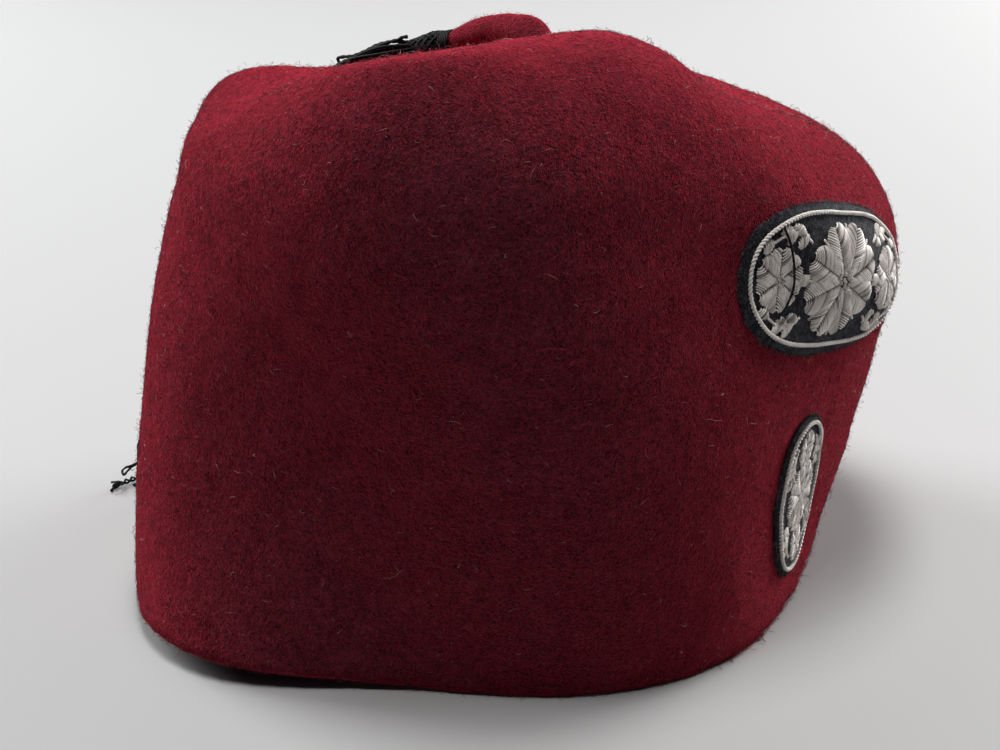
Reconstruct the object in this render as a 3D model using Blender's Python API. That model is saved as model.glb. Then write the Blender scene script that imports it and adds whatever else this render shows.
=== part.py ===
"""A soft felt fez with a cord tassel and two embroidered cloth patches.

Frame: metres, +Z up, the hat stands on its open rim on Z = 0.  The front,
with the patches, looks along -Y and the wearer's right side along -X.
Bearings run round the hat in degrees, 0 at the front and 90 at the wearer's
right.  Sizes below are in millimetres.
"""

import math

import bmesh
import bpy
import numpy as np
from mathutils import Vector

for old in list(bpy.data.objects):
    bpy.data.objects.remove(old, do_unlink=True)

MM = 0.001

# ---------------------------------------------------------------- sizes

FELT = 2.5            # felt wall
GAP = 0.35            # air between neighbouring pieces
BEARINGS = 64         # facets round the hat

# The shape of the felt, a row for each spoke round the hat.
#   rim        radius of the cut edge
#   belly      how far the wall's middle stands out from a straight line
#   shoulder   radius of the wall's top, where the rounding starts
#   edge_z     height of the crown's edge
#   round_in   how far the rounding reaches inwards
#   round_up   how far it reaches down the wall
#   sag        depth of the hollow between the crown's edge and its middle
SPOKE_COLUMNS = ("bearing", "rim", "belly", "shoulder", "edge_z",
                 "round_in", "round_up", "sag")
SPOKES = (
    (0,   82, -3,  91, 119, 37, 37, 2),    # front, under the patches
    (22,  87,  3,  83, 132, 30, 38, 2),    # front right corner
    (48,  86,  4,  85, 136, 34, 33, 0),
    (77,  84, -3,  86, 135, 18, 44, 0),    # flat right side
    (101, 97, -4,  81, 127, 25, 27, 2),    # where the rim is lifted
    (118, 94,  2,  76, 122, 32, 15, 2),    # back right corner
    (150, 80,  3,  70, 121, 20, 23, 0),
    (180, 85, -2,  79, 109, 12, 12, 0),    # back, under the tassel
    (225, 92,  2,  90, 105, 23, 18, 0),
    (270, 96, -1,  95, 110, 22, 23, 0),    # left side
    (315, 89,  5, 104, 108, 43, 32, 0),    # front left, leaning out
    (340, 82, -3,  98, 112, 34, 43, 1),
)

# The crown's middle, where the stalk stands, and how high it is.
CROWN = {"x": 3, "y": -13, "z": 121}

# Swellings of the crown, a row for each.
SWELLING_COLUMNS = ("x", "y", "radius", "height")
SWELLINGS = (
    (0.5, -38.5, 14.5, 8.5),                  # pucker in front of the stalk
)

# The cut edge is lifted off the table along one stretch.
RIM_LIFT = {"bearing": 108, "half_angle": 50, "height": 4.5}

# The felt stalk, moulded in one with the crown: it rises, bends over and lies
# on the crown.
STALK = {"radius": 4.1, "root_radius": 8.0, "rise": 1.1, "bend": 4.8,
         "heading": 190, "droop": 88, "tip_droop": 115, "length": 26,
         "tip_radius": 2.5, "belly": 0.7}
STALK_SIDES = 16


# ---------------------------------------------------------------- felt skin

def table_rows(columns, rows):
    return [dict(zip(columns, row)) for row in rows]


class SpokeCurves:
    """Smooth closed curves through the spokes' values, one for each column."""

    def __init__(self):
        data = np.array(SPOKES, float)
        self.at = data[:, 0]
        self.values = data[:, 1:]
        count = len(self.at)
        step = np.diff(np.append(self.at, self.at[0] + 360.0))
        matrix = np.zeros((count, count))
        right = np.zeros_like(self.values)
        for i in range(count):
            before, after = (i - 1) % count, (i + 1) % count
            h0, h1 = step[before], step[i]
            matrix[i, before] += h0
            matrix[i, i] += 2.0 * (h0 + h1)
            matrix[i, after] += h1
            right[i] = 6.0 * ((self.values[after] - self.values[i]) / h1
                              - (self.values[i] - self.values[before]) / h0)
        self.curve = np.linalg.solve(matrix, right)
        self.step = step
        self.known = {}

    def __call__(self, bearing):
        bearing = bearing % 360.0
        key = round(bearing, 6)
        if key not in self.known:
            i = int(np.searchsorted(self.at, bearing, side="right")) - 1
            j = (i + 1) % len(self.at)
            h = self.step[i]
            a = (h - (bearing - self.at[i])) / h
            b = 1.0 - a
            row = (a * self.values[i] + b * self.values[j]
                   + ((a ** 3 - a) * self.curve[i]
                      + (b ** 3 - b) * self.curve[j]) * h * h / 6.0)
            self.known[key] = dict(zip(SPOKE_COLUMNS[1:], row))
        return self.known[key]


spoke = SpokeCurves()
swellings = table_rows(SWELLING_COLUMNS, SWELLINGS)


def turn(a, b):
    """The shorter way round from bearing b to bearing a."""
    return (a - b + 180.0) % 360.0 - 180.0


def away(bearing):
    angle = math.radians(bearing)
    return Vector((-math.sin(angle), -math.cos(angle), 0.0))


def rim_lift(bearing):
    off = abs(turn(bearing, RIM_LIFT["bearing"])) / RIM_LIFT["half_angle"]
    return 0.0 if off >= 1 else RIM_LIFT["height"] * math.cos(off * math.pi / 2) ** 2


def skin(bearing, t):
    """The outer skin: t runs 0 to 1 up the wall, 1 to 2 round the shoulder
    and 2 to 3 across the crown to its middle."""
    s = spoke(bearing)
    wall_top = s["edge_z"] - s["round_up"]
    shift = 0.0
    if t <= 1.0:
        radius = (s["rim"] + (s["shoulder"] - s["rim"]) * t
                  + s["belly"] * 4.0 * t * (1.0 - t))
        z = wall_top * t + rim_lift(bearing) * (1.0 - t) ** 3
    elif t <= 2.0:
        angle = (t - 1.0) * math.pi / 2.0
        radius = s["shoulder"] - s["round_in"] * (1.0 - math.cos(angle))
        z = wall_top + s["round_up"] * math.sin(angle)
    else:
        k = t - 2.0
        shift = k * k * (3.0 - 2.0 * k)
        radius = (s["shoulder"] - s["round_in"]) * (1.0 - k)
        z = (s["edge_z"] + (CROWN["z"] - s["edge_z"]) * shift
             - s["sag"] * 16.0 * (k * (1.0 - k)) ** 2)
    point = away(bearing) * radius
    point += Vector((CROWN["x"], CROWN["y"], 0.0)) * shift
    if t > 1.0:
        for b in swellings:
            off = ((point.x - b["x"]) ** 2 + (point.y - b["y"]) ** 2) / (2.0 * b["radius"] ** 2)
            z += b["height"] * math.exp(-off) * min(1.0, t - 1.0)
    point.z = z
    return point


def skin_normal(bearing, t):
    t = min(t, 2.97)
    low, high = max(t - 0.01, 0.0), t + 0.01
    across = skin(bearing + 0.5, t) - skin(bearing - 0.5, t)
    up = skin(bearing, high) - skin(bearing, low)
    normal = up.cross(across)
    normal.normalize()
    return normal


def off_skin(bearing, t, height):
    return skin(bearing, t) + skin_normal(bearing, t) * height


# ---------------------------------------------------------------- meshes

def link(name, bm, colour, roughness):
    """Turn a bmesh in millimetres into a named object with its own material."""
    bmesh.ops.recalc_face_normals(bm, faces=bm.faces)
    bmesh.ops.scale(bm, vec=(MM, MM, MM), verts=bm.verts)
    mesh = bpy.data.meshes.new(name)
    bm.to_mesh(mesh)
    bm.free()
    mesh.shade_smooth()
    mesh.set_sharp_from_angle(angle=math.radians(50))
    material = bpy.data.materials.new(name)
    material.use_nodes = True
    shader = material.node_tree.nodes["Principled BSDF"]
    shader.inputs["Base Color"].default_value = (*colour, 1.0)
    shader.inputs["Roughness"].default_value = roughness
    shader.inputs["Metallic"].default_value = 0.0
    mesh.materials.append(material)
    made = bpy.data.objects.new(name, mesh)
    bpy.context.scene.collection.objects.link(made)
    return made


def add_ring(bm, points):
    return [bm.verts.new(p) for p in points]


def stitch(bm, lower, upper):
    """Faces between two rings; the upper may have fewer points by a whole factor."""
    ratio = len(lower) // len(upper)
    for j in range(len(upper)):
        a, b = upper[j], upper[(j + 1) % len(upper)]
        if ratio == 1:
            bm.faces.new((lower[j], lower[(j + 1) % len(lower)], b, a))
            continue
        half = ratio // 2
        for k in range(ratio):
            low0 = lower[(j * ratio + k) % len(lower)]
            low1 = lower[(j * ratio + k + 1) % len(lower)]
            bm.faces.new((low0, low1, a if k < half else b))
        bm.faces.new((lower[j * ratio + half], b, a))


def close(bm, ring, tip):
    end = bm.verts.new(tip)
    for j in range(len(ring)):
        bm.faces.new((ring[j], ring[(j + 1) % len(ring)], end))


# How the rows of facets are spread over the skin: count of points round the
# ring and the ring's place on the skin.
OUTER_ROWS = ([(BEARINGS, i / 9.0) for i in range(10)]
              + [(BEARINGS, 1.0 + i / 6.0) for i in range(1, 7)]
              + [(BEARINGS, 2.12), (BEARINGS // 2, 2.26), (BEARINGS // 2, 2.4),
                 (BEARINGS // 2, 2.54), (BEARINGS // 2, 2.66), (BEARINGS // 4, 2.77)])
INNER_ROWS = ([(BEARINGS, i / 6.0) for i in range(1, 7)]
              + [(BEARINGS, 1.0 + i / 5.0) for i in range(1, 6)]
              + [(BEARINGS // 2, 2.2), (BEARINGS // 2, 2.4),
                 (BEARINGS // 2, 2.6), (BEARINGS // 4, 2.8)])


def stalk_path():
    """Centre line of the stalk: up, over and down onto the crown."""
    root = skin(0.0, 3.0)
    ahead = away(STALK["heading"])
    up = Vector((0.0, 0.0, 1.0))
    points = []
    bend, rise = STALK["bend"], STALK["rise"]
    steps = 6
    for i in range(steps + 1):
        angle = math.radians(STALK["droop"]) * i / steps
        points.append(root + up * (rise + bend * math.sin(angle))
                      + ahead * bend * (1.0 - math.cos(angle)))
    finger = 5
    for i in range(finger):
        share = (i + 0.5) / finger
        angle = math.radians(STALK["droop"] + (STALK["tip_droop"] - STALK["droop"]) * share)
        points.append(points[-1] + (ahead * math.sin(angle) + up * math.cos(angle))
                      * (STALK["length"] - bend) / finger)
    return points, ahead


def felt_body():
    bm = bmesh.new()
    rings = []
    for count, t in OUTER_ROWS:
        rings.append(add_ring(bm, [skin(360.0 * j / count, t) for j in range(count)]))
    for lower, upper in zip(rings, rings[1:]):
        stitch(bm, lower, upper)

    # The stalk's rings turn the same way as the crown's: bearing 0 first.
    path, ahead = stalk_path()
    side = Vector((-ahead.y, ahead.x, 0.0))
    root = skin(0.0, 3.0)
    last = rings[-1]
    frames = []
    for radius, height in ((STALK["root_radius"], 0.3),
                           (0.68 * STALK["root_radius"], 0.9)):
        frames.append((root + Vector((0, 0, height)), Vector((0, 0, 1)), radius))
    count = len(path)
    for i, centre in enumerate(path):
        if i == 0:
            tangent = Vector((0, 0, 1))
        elif i == count - 1:
            tangent = path[i] - path[i - 1]
        else:
            tangent = path[i + 1] - path[i - 1]
        tangent.normalize()
        along = i / (count - 1)
        radius = (STALK["radius"] + (STALK["tip_radius"] - STALK["radius"]) * along ** 2
                  + STALK["belly"] * math.sin(math.pi * along))
        frames.append((centre, tangent, radius))
    # Ring points start at bearing 0 of the crown, so the phase is that of -Y.
    start = away(0.0)
    phase = math.atan2(start.dot(Vector((0, 0, 1)).cross(side)), start.dot(side))
    for centre, tangent, radius in frames:
        up = side.cross(tangent)
        up.normalize()
        ring = []
        for j in range(STALK_SIDES):
            angle = phase - 2.0 * math.pi * j / STALK_SIDES
            ring.append(centre + side * (radius * math.cos(angle))
                        - up * (radius * math.sin(angle)))
        ring = add_ring(bm, ring)
        stitch(bm, last, ring)
        last = ring
    tip, tangent, radius = frames[-1]
    up = side.cross(tangent)
    ring = []
    for j in range(STALK_SIDES):
        angle = phase - 2.0 * math.pi * j / STALK_SIDES
        ring.append(tip + tangent * 0.5 * radius
                    + (side * math.cos(angle) - up * math.sin(angle)) * 0.8 * radius)
    ring = add_ring(bm, ring)
    stitch(bm, last, ring)
    close(bm, ring, tip + tangent * 0.8 * radius)

    # Inside, the skin's other face, closed under the crown.
    edge = []
    for j in range(BEARINGS):
        bearing = 360.0 * j / BEARINGS
        edge.append(skin(bearing, 0.0) - away(bearing) * FELT)
    inner = [add_ring(bm, edge)]
    for count, t in INNER_ROWS:
        inner.append(add_ring(bm, [off_skin(360.0 * j / count, t, -FELT) for j in range(count)]))
    stitch(bm, rings[0], inner[0])
    for lower, upper in zip(inner, inner[1:]):
        stitch(bm, lower, upper)
    close(bm, inner[-1], skin(0.0, 3.0) - Vector((0, 0, FELT)))
    return link("felt_body", bm, (0.12, 0.012, 0.02), 0.95)


# ---------------------------------------------------------------- tassel

# Outer form of the cord tassel: a flat bundle of locks lying side by side.
# It starts at a bound head on the stalk's tip, crosses the crown, falls down
# the back wall and ends in separate locks lying on the table.
LOCKS = 5
LOCK_FACETS = 4       # facets over each lock
VALLEY = 0.55         # height of the groove between locks, as a share of a lock

# Bound head, measured along the stalk's line from its tip.
HEAD_COLUMNS = ("ahead", "half_width", "height")
HEAD = (
    (0.0, 1.5, 3.0),
    (0.6, 2.5, 5.0),
    (4.0, 2.8, 5.6),
    (7.0, 2.5, 5.0),
    (8.5, 2.1, 4.2),
)

# The drop over the crown and down the back wall; lift is the height of the
# bundle's underside over the felt where it bridges the crown's hollow.
DROP_COLUMNS = ("bearing", "t", "lift", "half_width", "height")
DROP = (
    (192, 2.45, 3.6, 3.0, 4.4),
    (193, 2.32, 3.5, 3.8, 4.3),
    (194, 2.18, 2.0, 4.8, 4.1),
    (194, 2.03, 0.3, 5.8, 3.9),
    (194, 1.75, 0.0, 6.6, 3.7),
    (193, 1.50, 0.0, 7.2, 3.5),
    (192, 1.25, 0.0, 7.7, 3.4),
    (190, 1.00, 0.0, 8.2, 3.4),
    (188, 0.85, 0.0, 8.6, 3.3),
    (186, 0.70, 0.0, 9.0, 3.3),
    (183, 0.55, 0.0, 9.5, 3.2),
    (180, 0.42, 0.0, 10.0, 3.2),
    (177, 0.30, 0.0, 10.5, 3.1),
    (174, 0.20, 0.0, 11.0, 3.0),
)

# The loose end of each lock, on the table: how far it reaches out from the
# wall, how far it drifts round towards the wearer's right, and its thickness.
END_COLUMNS = ("reach", "drift", "radius")
ENDS = (
    (10.0, 12.0, 1.5),
    (15.0, 7.0, 1.6),
    (12.0, 1.0, 1.6),
    (16.0, -3.0, 1.6),
    (10.0, -8.0, 1.5),
)


def lock_ring(centre, side, up, half_width, height):
    """Points round the bundle: over its locks and back underneath."""
    last = LOCKS * LOCK_FACETS
    top, bottom = [], []
    for j in range(last + 1):
        swell = math.sin(math.pi * (j % LOCK_FACETS) / LOCK_FACETS)
        across = side * (half_width * (2.0 * j / last - 1.0))
        if j in (0, last):
            top.append(centre + across + up * (0.4 * height))
            bottom.append(None)
            continue
        top.append(centre + across + up * height * (VALLEY + (1.0 - VALLEY) * swell))
        bottom.append(centre + across + up * height * 0.14 * (1.0 - swell))
    return top, bottom


def loop_of(top, bottom):
    return top + [p for p in reversed(bottom) if p is not None]


def smooth_step(k):
    return k * k * (3.0 - 2.0 * k)


def tassel():
    path, ahead = stalk_path()
    line = (path[-1] - path[-5]).normalized()
    side = Vector((-ahead.y, ahead.x, 0.0))
    stalk_up = side.cross(line).normalized()
    if stalk_up.z < 0:
        stalk_up.negate()
    tip = path[-1] + line * (0.8 * STALK["tip_radius"] + GAP)

    stations = []
    for row in table_rows(HEAD_COLUMNS, HEAD):
        stations.append((tip + line * row["ahead"] - stalk_up * (0.5 * row["height"]),
                         stalk_up, row["half_width"], row["height"]))
    for row in table_rows(DROP_COLUMNS, DROP):
        stations.append((off_skin(row["bearing"], row["t"], GAP + row["lift"]),
                         skin_normal(row["bearing"], row["t"]),
                         row["half_width"], row["height"]))

    bm = bmesh.new()
    rings = []
    count = len(stations)
    for i, (centre, up, half_width, height) in enumerate(stations):
        before, after = stations[max(i - 1, 0)][0], stations[min(i + 1, count - 1)][0]
        tangent = (after - before).normalized()
        across = tangent.cross(up).normalized()
        rising = across.cross(tangent).normalized()
        top, bottom = lock_ring(centre, across, rising, half_width, height)
        rings.append(([bm.verts.new(p) for p in top],
                      [None if p is None else bm.verts.new(p) for p in bottom]))
    start = loop_of(*rings[0])
    stitch_end = bm.verts.new(stations[0][0] + stations[0][1] * (0.5 * stations[0][3])
                              - line * 0.2)
    for j in range(len(start)):
        bm.faces.new((start[j], start[(j + 1) % len(start)], stitch_end))
    for lower, upper in zip(rings, rings[1:]):
        stitch(bm, loop_of(*lower), loop_of(*upper))

    # Each lock leaves the last common ring as a tube of its own.
    top, bottom = rings[-1]
    centre, up, half_width, height = stations[-1]
    tangent = (stations[-1][0] - stations[-2][0]).normalized()
    across = tangent.cross(up).normalized()
    outwards = Vector((up.x, up.y, 0.0)).normalized()
    sideways = Vector((-outwards.y, outwards.x, 0.0))
    for i, row in enumerate(table_rows(END_COLUMNS, ENDS)):
        first, final = i * LOCK_FACETS, (i + 1) * LOCK_FACETS
        loop = top[first:final + 1]
        loop += [v for v in reversed([bottom[j] for j in range(first, final + 1)])
                 if v is not None]
        seen = []
        for v in loop:
            if v not in seen:
                seen.append(v)
        loop = seen
        middle = sum((v.co for v in loop), Vector()) / len(loop)
        start_z = middle.z
        flat = Vector((middle.x, middle.y, 0.0))
        drift = sideways * row["drift"]
        offsets = [v.co - middle for v in loop]
        steps = 5
        for k in range(1, steps + 1):
            share = k / steps
            fall = smooth_step(min(1.0, share * 1.5))
            radius = row["radius"] * (1.0 - 0.25 * share ** 3)
            place = (flat + outwards * row["reach"] * share ** 1.6 + drift * share ** 1.3
                     + Vector((0.0, 0.0, start_z + (row["radius"] * 0.85 - start_z) * fall)))
            heading = (outwards * row["reach"] * share ** 0.6 * 1.6 + drift * 1.3 * share ** 0.3
                       - Vector((0, 0, 1)) * (start_z * (1.5 if share < 0.66 else 0.05)))
            heading.normalize()
            right = heading.cross(Vector((0, 0, 1)) if abs(heading.z) < 0.9 else outwards)
            right.normalize()
            over = right.cross(heading).normalized()
            ring = []
            for m, off in enumerate(offsets):
                # The section keeps its points' order and turns round and small.
                x, y = off.dot(across), off.dot(up)
                angle = math.atan2(y / max(height, 0.1), x / max(half_width / LOCKS, 0.1))
                point = place + (right * math.cos(angle) + over * math.sin(angle)) * radius
                point.z = max(point.z, 0.0)
                ring.append(point)
            made = [bm.verts.new(p) for p in ring]
            stitch(bm, loop, made)
            loop = made
        end = bm.verts.new(place + heading * 0.6 * radius)
        for m in range(len(loop)):
            bm.faces.new((loop[m], loop[(m + 1) % len(loop)], end))
    return link("tassel", bm, (0.012, 0.011, 0.012), 0.6)


# ---------------------------------------------------------------- patches

# Cloth patches on the front, with raised thread work.  A patch is laid out on
# the skin: x runs across it towards the wearer's left and y up the front,
# both measured on the felt from the patch's middle; tilt raises its end on the
# wearer's right.
PATCH_COLUMNS = ("name", "z", "half_wide", "half_high", "corner", "tilt")
PATCHES = (
    ("upper_patch", 82, 33.0, 17.5, 2.3, 10.0),
    ("lower_patch", 29, 14.0, 19.5, 2.2, 0.0),
)
BACKING = 0.8         # cloth thickness
THREAD = 0.9          # thickness of the thread work at its middle

# Rosettes of the thread work, in a row joined by bars: their places along the
# patch's longer way, radii and number of petals.
ROSETTE_COLUMNS = ("patch", "along", "radius", "petals")
ROSETTES = (
    ("upper_patch", -21.5, 7.2, 6),
    ("upper_patch", 0.0, 13.0, 8),
    ("upper_patch", 21.5, 7.2, 6),
    ("lower_patch", -12.0, 4.4, 6),
    ("lower_patch", 0.0, 8.6, 8),
    ("lower_patch", 12.0, 4.4, 6),
)
BAR = 1.3             # half width of the bars between rosettes


class FrontRuler:
    """Finds skin points by distance up the front from the rim."""

    def __init__(self, bearing):
        self.bearing = bearing
        self.ts = [i * 0.02 for i in range(126)]
        self.run = [0.0]
        point = skin(bearing, 0.0)
        for t in self.ts[1:]:
            nxt = skin(bearing, t)
            self.run.append(self.run[-1] + (nxt - point).length)
            point = nxt

    def t_at(self, run):
        return float(np.interp(run, self.run, self.ts))


rulers = {}


def ruler(bearing):
    key = round(bearing, 3)
    if key not in rulers:
        rulers[key] = FrontRuler(bearing)
    return rulers[key]


def run_at_height(z):
    front = ruler(0.0)
    heights = [skin(0.0, t).z for t in front.ts]
    return float(np.interp(z, heights, front.run))


def on_patch(patch, x, y, height):
    """A point x across and y up the patch, standing height off the skin."""
    lean = math.radians(patch["tilt"])
    x, y = (x * math.cos(lean) + y * math.sin(lean),
            y * math.cos(lean) - x * math.sin(lean))
    run = run_at_height(patch["z"]) + y
    middle = skin(0.0, ruler(0.0).t_at(run))
    bearing = -math.degrees(x / math.hypot(middle.x, middle.y))
    return off_skin(bearing, ruler(bearing).t_at(run), height)


def backing(patch):
    """A cloth shape with softly pointed ends, a thin solid along the skin."""
    bm = bmesh.new()
    count, rings = 36, 4
    sheets = []
    for height in (GAP, GAP + BACKING):
        middle = bm.verts.new(on_patch(patch, 0.0, 0.0, height))
        sheet = []
        for k in range(1, rings + 1):
            ring = []
            for j in range(count):
                angle = 2.0 * math.pi * j / count
                c, s = math.cos(angle), math.sin(angle)
                reach = (abs(c) ** patch["corner"] + abs(s) ** patch["corner"]) ** (-1.0 / patch["corner"])
                share = k / rings
                ring.append(bm.verts.new(on_patch(
                    patch, patch["half_wide"] * c * reach * share,
                    patch["half_high"] * s * reach * share, height)))
            sheet.append(ring)
        for j in range(count):
            bm.faces.new((middle, sheet[0][j], sheet[0][(j + 1) % count]))
        for lower, upper in zip(sheet, sheet[1:]):
            stitch(bm, lower, upper)
        sheets.append(sheet[-1])
    stitch(bm, sheets[0], sheets[1])
    return link(patch["name"] + "_backing", bm, (0.03, 0.032, 0.04), 0.9)


def embroidery(patch):
    """Rosettes joined by bars, one raised solid on the backing."""
    rosettes = [r for r in table_rows(ROSETTE_COLUMNS, ROSETTES) if r["patch"] == patch["name"]]
    lying = patch["half_wide"] > patch["half_high"]
    ends = [(r["along"] - r["radius"], r["along"] + r["radius"]) for r in rosettes]
    low, high = min(e[0] for e in ends), max(e[1] for e in ends)
    columns, rows = 36, 6
    base = GAP + BACKING + GAP

    def half_height(at):
        best = BAR
        for r in rosettes:
            best = max(best, math.sqrt(max(0.0, r["radius"] ** 2 - (at - r["along"]) ** 2)))
        return best

    def relief(at, off):
        best = 0.35
        for r in rosettes:
            d = math.hypot(at - r["along"], off) / r["radius"]
            if d < 1.02:
                petal = abs(math.cos(0.5 * r["petals"] * math.atan2(off, at - r["along"])))
                best = max(best, 0.45 + 0.55 * (1.0 - d * d) ** 0.5 * (0.6 + 0.4 * petal)
                           if d < 1.0 else 0.45)
        return best * THREAD

    bm = bmesh.new()
    sheets = []
    for top in (False, True):
        grid = []
        for i in range(columns + 1):
            at = low + (high - low) * i / columns
            half = half_height(at)
            if i in (0, columns):
                half = 0.9
            line = []
            for k in range(rows + 1):
                off = half * (2.0 * k / rows - 1.0)
                height = base + (relief(at, off) if top else 0.0)
                x, y = (at, off) if lying else (off, at)
                line.append(bm.verts.new(on_patch(patch, x, y, height)))
            grid.append(line)
        for i in range(columns):
            for k in range(rows):
                bm.faces.new((grid[i][k], grid[i + 1][k], grid[i + 1][k + 1], grid[i][k + 1]))
        edge = ([grid[i][0] for i in range(columns + 1)]
                + [grid[columns][k] for k in range(1, rows + 1)]
                + [grid[i][rows] for i in range(columns - 1, -1, -1)]
                + [grid[0][k] for k in range(rows - 1, 0, -1)])
        sheets.append(edge)
    stitch(bm, sheets[0], sheets[1])
    return link(patch["name"] + "_embroidery", bm, (0.42, 0.41, 0.39), 0.5)


# ---------------------------------------------------------------- build

hat = bpy.data.objects.new("fez_hat", None)
bpy.context.scene.collection.objects.link(hat)
pieces = [felt_body(), tassel()]
for shape in table_rows(PATCH_COLUMNS, PATCHES):
    pieces.append(backing(shape))
    pieces.append(embroidery(shape))
for piece in pieces:
    piece.parent = hat

# The origin is under the middle of the whole hat's box, tassel included.
corners = [v.co for piece in pieces for v in piece.data.vertices]
hat.location = [-0.5 * (min(c[k] for c in corners) + max(c[k] for c in corners))
                for k in (0, 1)] + [0.0]
bpy.context.view_layer.update()
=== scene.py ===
"""The looks of a soft felt fez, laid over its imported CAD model.

The hat's tables are in millimetres, with bearings in degrees round the hat
from its front towards the wearer's right.  Every piece is written out in
metres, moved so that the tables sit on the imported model.
"""
import math

import bmesh
import bpy
import numpy as np
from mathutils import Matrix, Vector, kdtree


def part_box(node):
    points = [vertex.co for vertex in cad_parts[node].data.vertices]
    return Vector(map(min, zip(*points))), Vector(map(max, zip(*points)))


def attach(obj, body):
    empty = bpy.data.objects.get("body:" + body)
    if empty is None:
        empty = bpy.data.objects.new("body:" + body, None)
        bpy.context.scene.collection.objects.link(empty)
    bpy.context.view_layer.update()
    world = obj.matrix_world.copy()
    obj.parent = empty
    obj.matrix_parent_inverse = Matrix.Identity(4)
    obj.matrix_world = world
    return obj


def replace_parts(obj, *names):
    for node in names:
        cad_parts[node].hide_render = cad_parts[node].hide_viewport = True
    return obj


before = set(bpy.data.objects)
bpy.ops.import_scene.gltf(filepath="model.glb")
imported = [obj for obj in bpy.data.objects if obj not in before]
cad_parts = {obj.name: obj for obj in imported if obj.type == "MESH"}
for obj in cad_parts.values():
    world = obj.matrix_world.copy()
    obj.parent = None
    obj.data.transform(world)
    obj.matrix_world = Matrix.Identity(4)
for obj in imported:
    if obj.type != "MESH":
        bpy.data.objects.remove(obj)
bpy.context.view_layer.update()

MM = 0.001
FRONT = np.array([0.0, -1.0, 0.0])
UP = np.array([0.0, 0.0, 1.0])
RNG = np.random.default_rng(20)

# ---------------------------------------------------------------- sizes

FELT = 2.5            # thickness of the wall
GAP = 0.35            # between a piece and what it lies on
CAD_BEARINGS = 64
CAD_ROWS = [i / 9.0 for i in range(10)] + [1.0 + i / 6.0 for i in range(1, 7)]

SPOKE_COLUMNS = ("bearing", "rim", "belly", "shoulder", "edge_z",
                 "round_in", "round_up", "sag")
SPOKES = (
    (0,   82, -3,  91, 119, 37, 37, 2),
    (22,  87,  3,  83, 132, 30, 38, 2),
    (48,  86,  4,  85, 136, 34, 33, 0),
    (77,  84, -3,  86, 135, 18, 44, 0),
    (101, 97, -4,  81, 127, 25, 27, 2),
    (118, 94,  2,  76, 122, 32, 15, 2),
    (150, 80,  3,  70, 121, 20, 23, 0),
    (180, 85, -2,  79, 109, 12, 12, 0),
    (225, 92,  2,  90, 105, 23, 18, 0),
    (270, 96, -1,  95, 110, 22, 23, 0),
    (315, 89,  5, 104, 108, 43, 32, 0),
    (340, 82, -3,  98, 112, 34, 43, 1),
)
CROWN = {"x": 3, "y": -13, "z": 121}
SWELLINGS = ((0.5, -38.5, 14.5, 8.5),)        # x, y, radius, height
RIM_LIFT = {"bearing": 108, "half_angle": 50, "height": 4.5}
STALK = {"radius": 4.1, "rise": 1.1, "bend": 4.8, "heading": 190, "droop": 88,
         "tip_droop": 115, "length": 26, "tip_radius": 2.5, "belly": 0.7}

HEAD_COLUMNS = ("ahead", "half_width", "height")
HEAD = ((0.0, 1.5, 3.0), (0.6, 2.5, 5.0), (4.0, 2.8, 5.6), (7.0, 2.5, 5.0),
        (8.5, 2.1, 4.2))
DROP_COLUMNS = ("bearing", "t", "lift", "half_width", "height")
DROP = (
    (192, 2.45, 3.6, 3.0, 4.4), (193, 2.32, 3.5, 3.8, 4.3),
    (194, 2.18, 2.0, 4.8, 4.1), (194, 2.03, 0.3, 5.8, 3.9),
    (194, 1.75, 0.0, 6.6, 3.7), (193, 1.50, 0.0, 7.2, 3.5),
    (192, 1.25, 0.0, 7.7, 3.4), (190, 1.00, 0.0, 8.2, 3.4),
    (188, 0.85, 0.0, 8.6, 3.3), (186, 0.70, 0.0, 9.0, 3.3),
    (183, 0.55, 0.0, 9.5, 3.2), (180, 0.42, 0.0, 10.0, 3.2),
    (177, 0.30, 0.0, 10.5, 3.1), (174, 0.20, 0.0, 11.0, 3.0),
)
# How far the tassel's locks run out on the table, and how far they drift aside.
ENDS = ((10.0, 2.0), (15.0, 2.0), (12.0, 1.0), (16.0, -3.0), (10.0, -8.0))

# noise_at picks a cloth's own part of the noise, and inset is how far in its
# outline cord lies.  fray and nap are counts of fibres.
PATCH_COLUMNS = ("name", "z", "half_wide", "half_high", "corner", "tilt",
                 "noise_at", "inset", "fray", "nap")
PATCHES = (
    ("upper_patch", 82, 33.0, 17.5, 2.3, 10.0, 5.0, 2.6, 3000, 4600),
    ("lower_patch", 29, 14.0, 19.5, 2.2, 0.0, 60.0, 1.5, 1900, 1900),
)
CLOTH_TOP = GAP + 0.8        # the cloth is 0.8 thick
ROSETTE_COLUMNS = ("patch", "along", "radius", "petals")
ROSETTES = (
    ("upper_patch", -21.5, 7.2, 6), ("upper_patch", 0.0, 13.0, 8),
    ("upper_patch", 21.5, 7.2, 6),
    ("lower_patch", -12.0, 4.4, 6), ("lower_patch", 0.0, 8.6, 8),
    ("lower_patch", 12.0, 4.4, 6),
)
BAR = 1.3             # half the width of the stitched bars between rosettes


def rows_of(columns, rows):
    return [dict(zip(columns, row)) for row in rows]


def unit(v):
    return v / np.maximum(np.linalg.norm(v, axis=-1, keepdims=True), 1e-9)


def quarter(way):
    """A level direction turned a quarter round."""
    return np.array([-way[1], way[0], 0.0][:len(way)])


def eased(share):
    """A share from 0 to 1 that starts and ends softly."""
    return share * share * (3.0 - 2.0 * share)


# ---------------------------------------------------------------- felt skin

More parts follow.
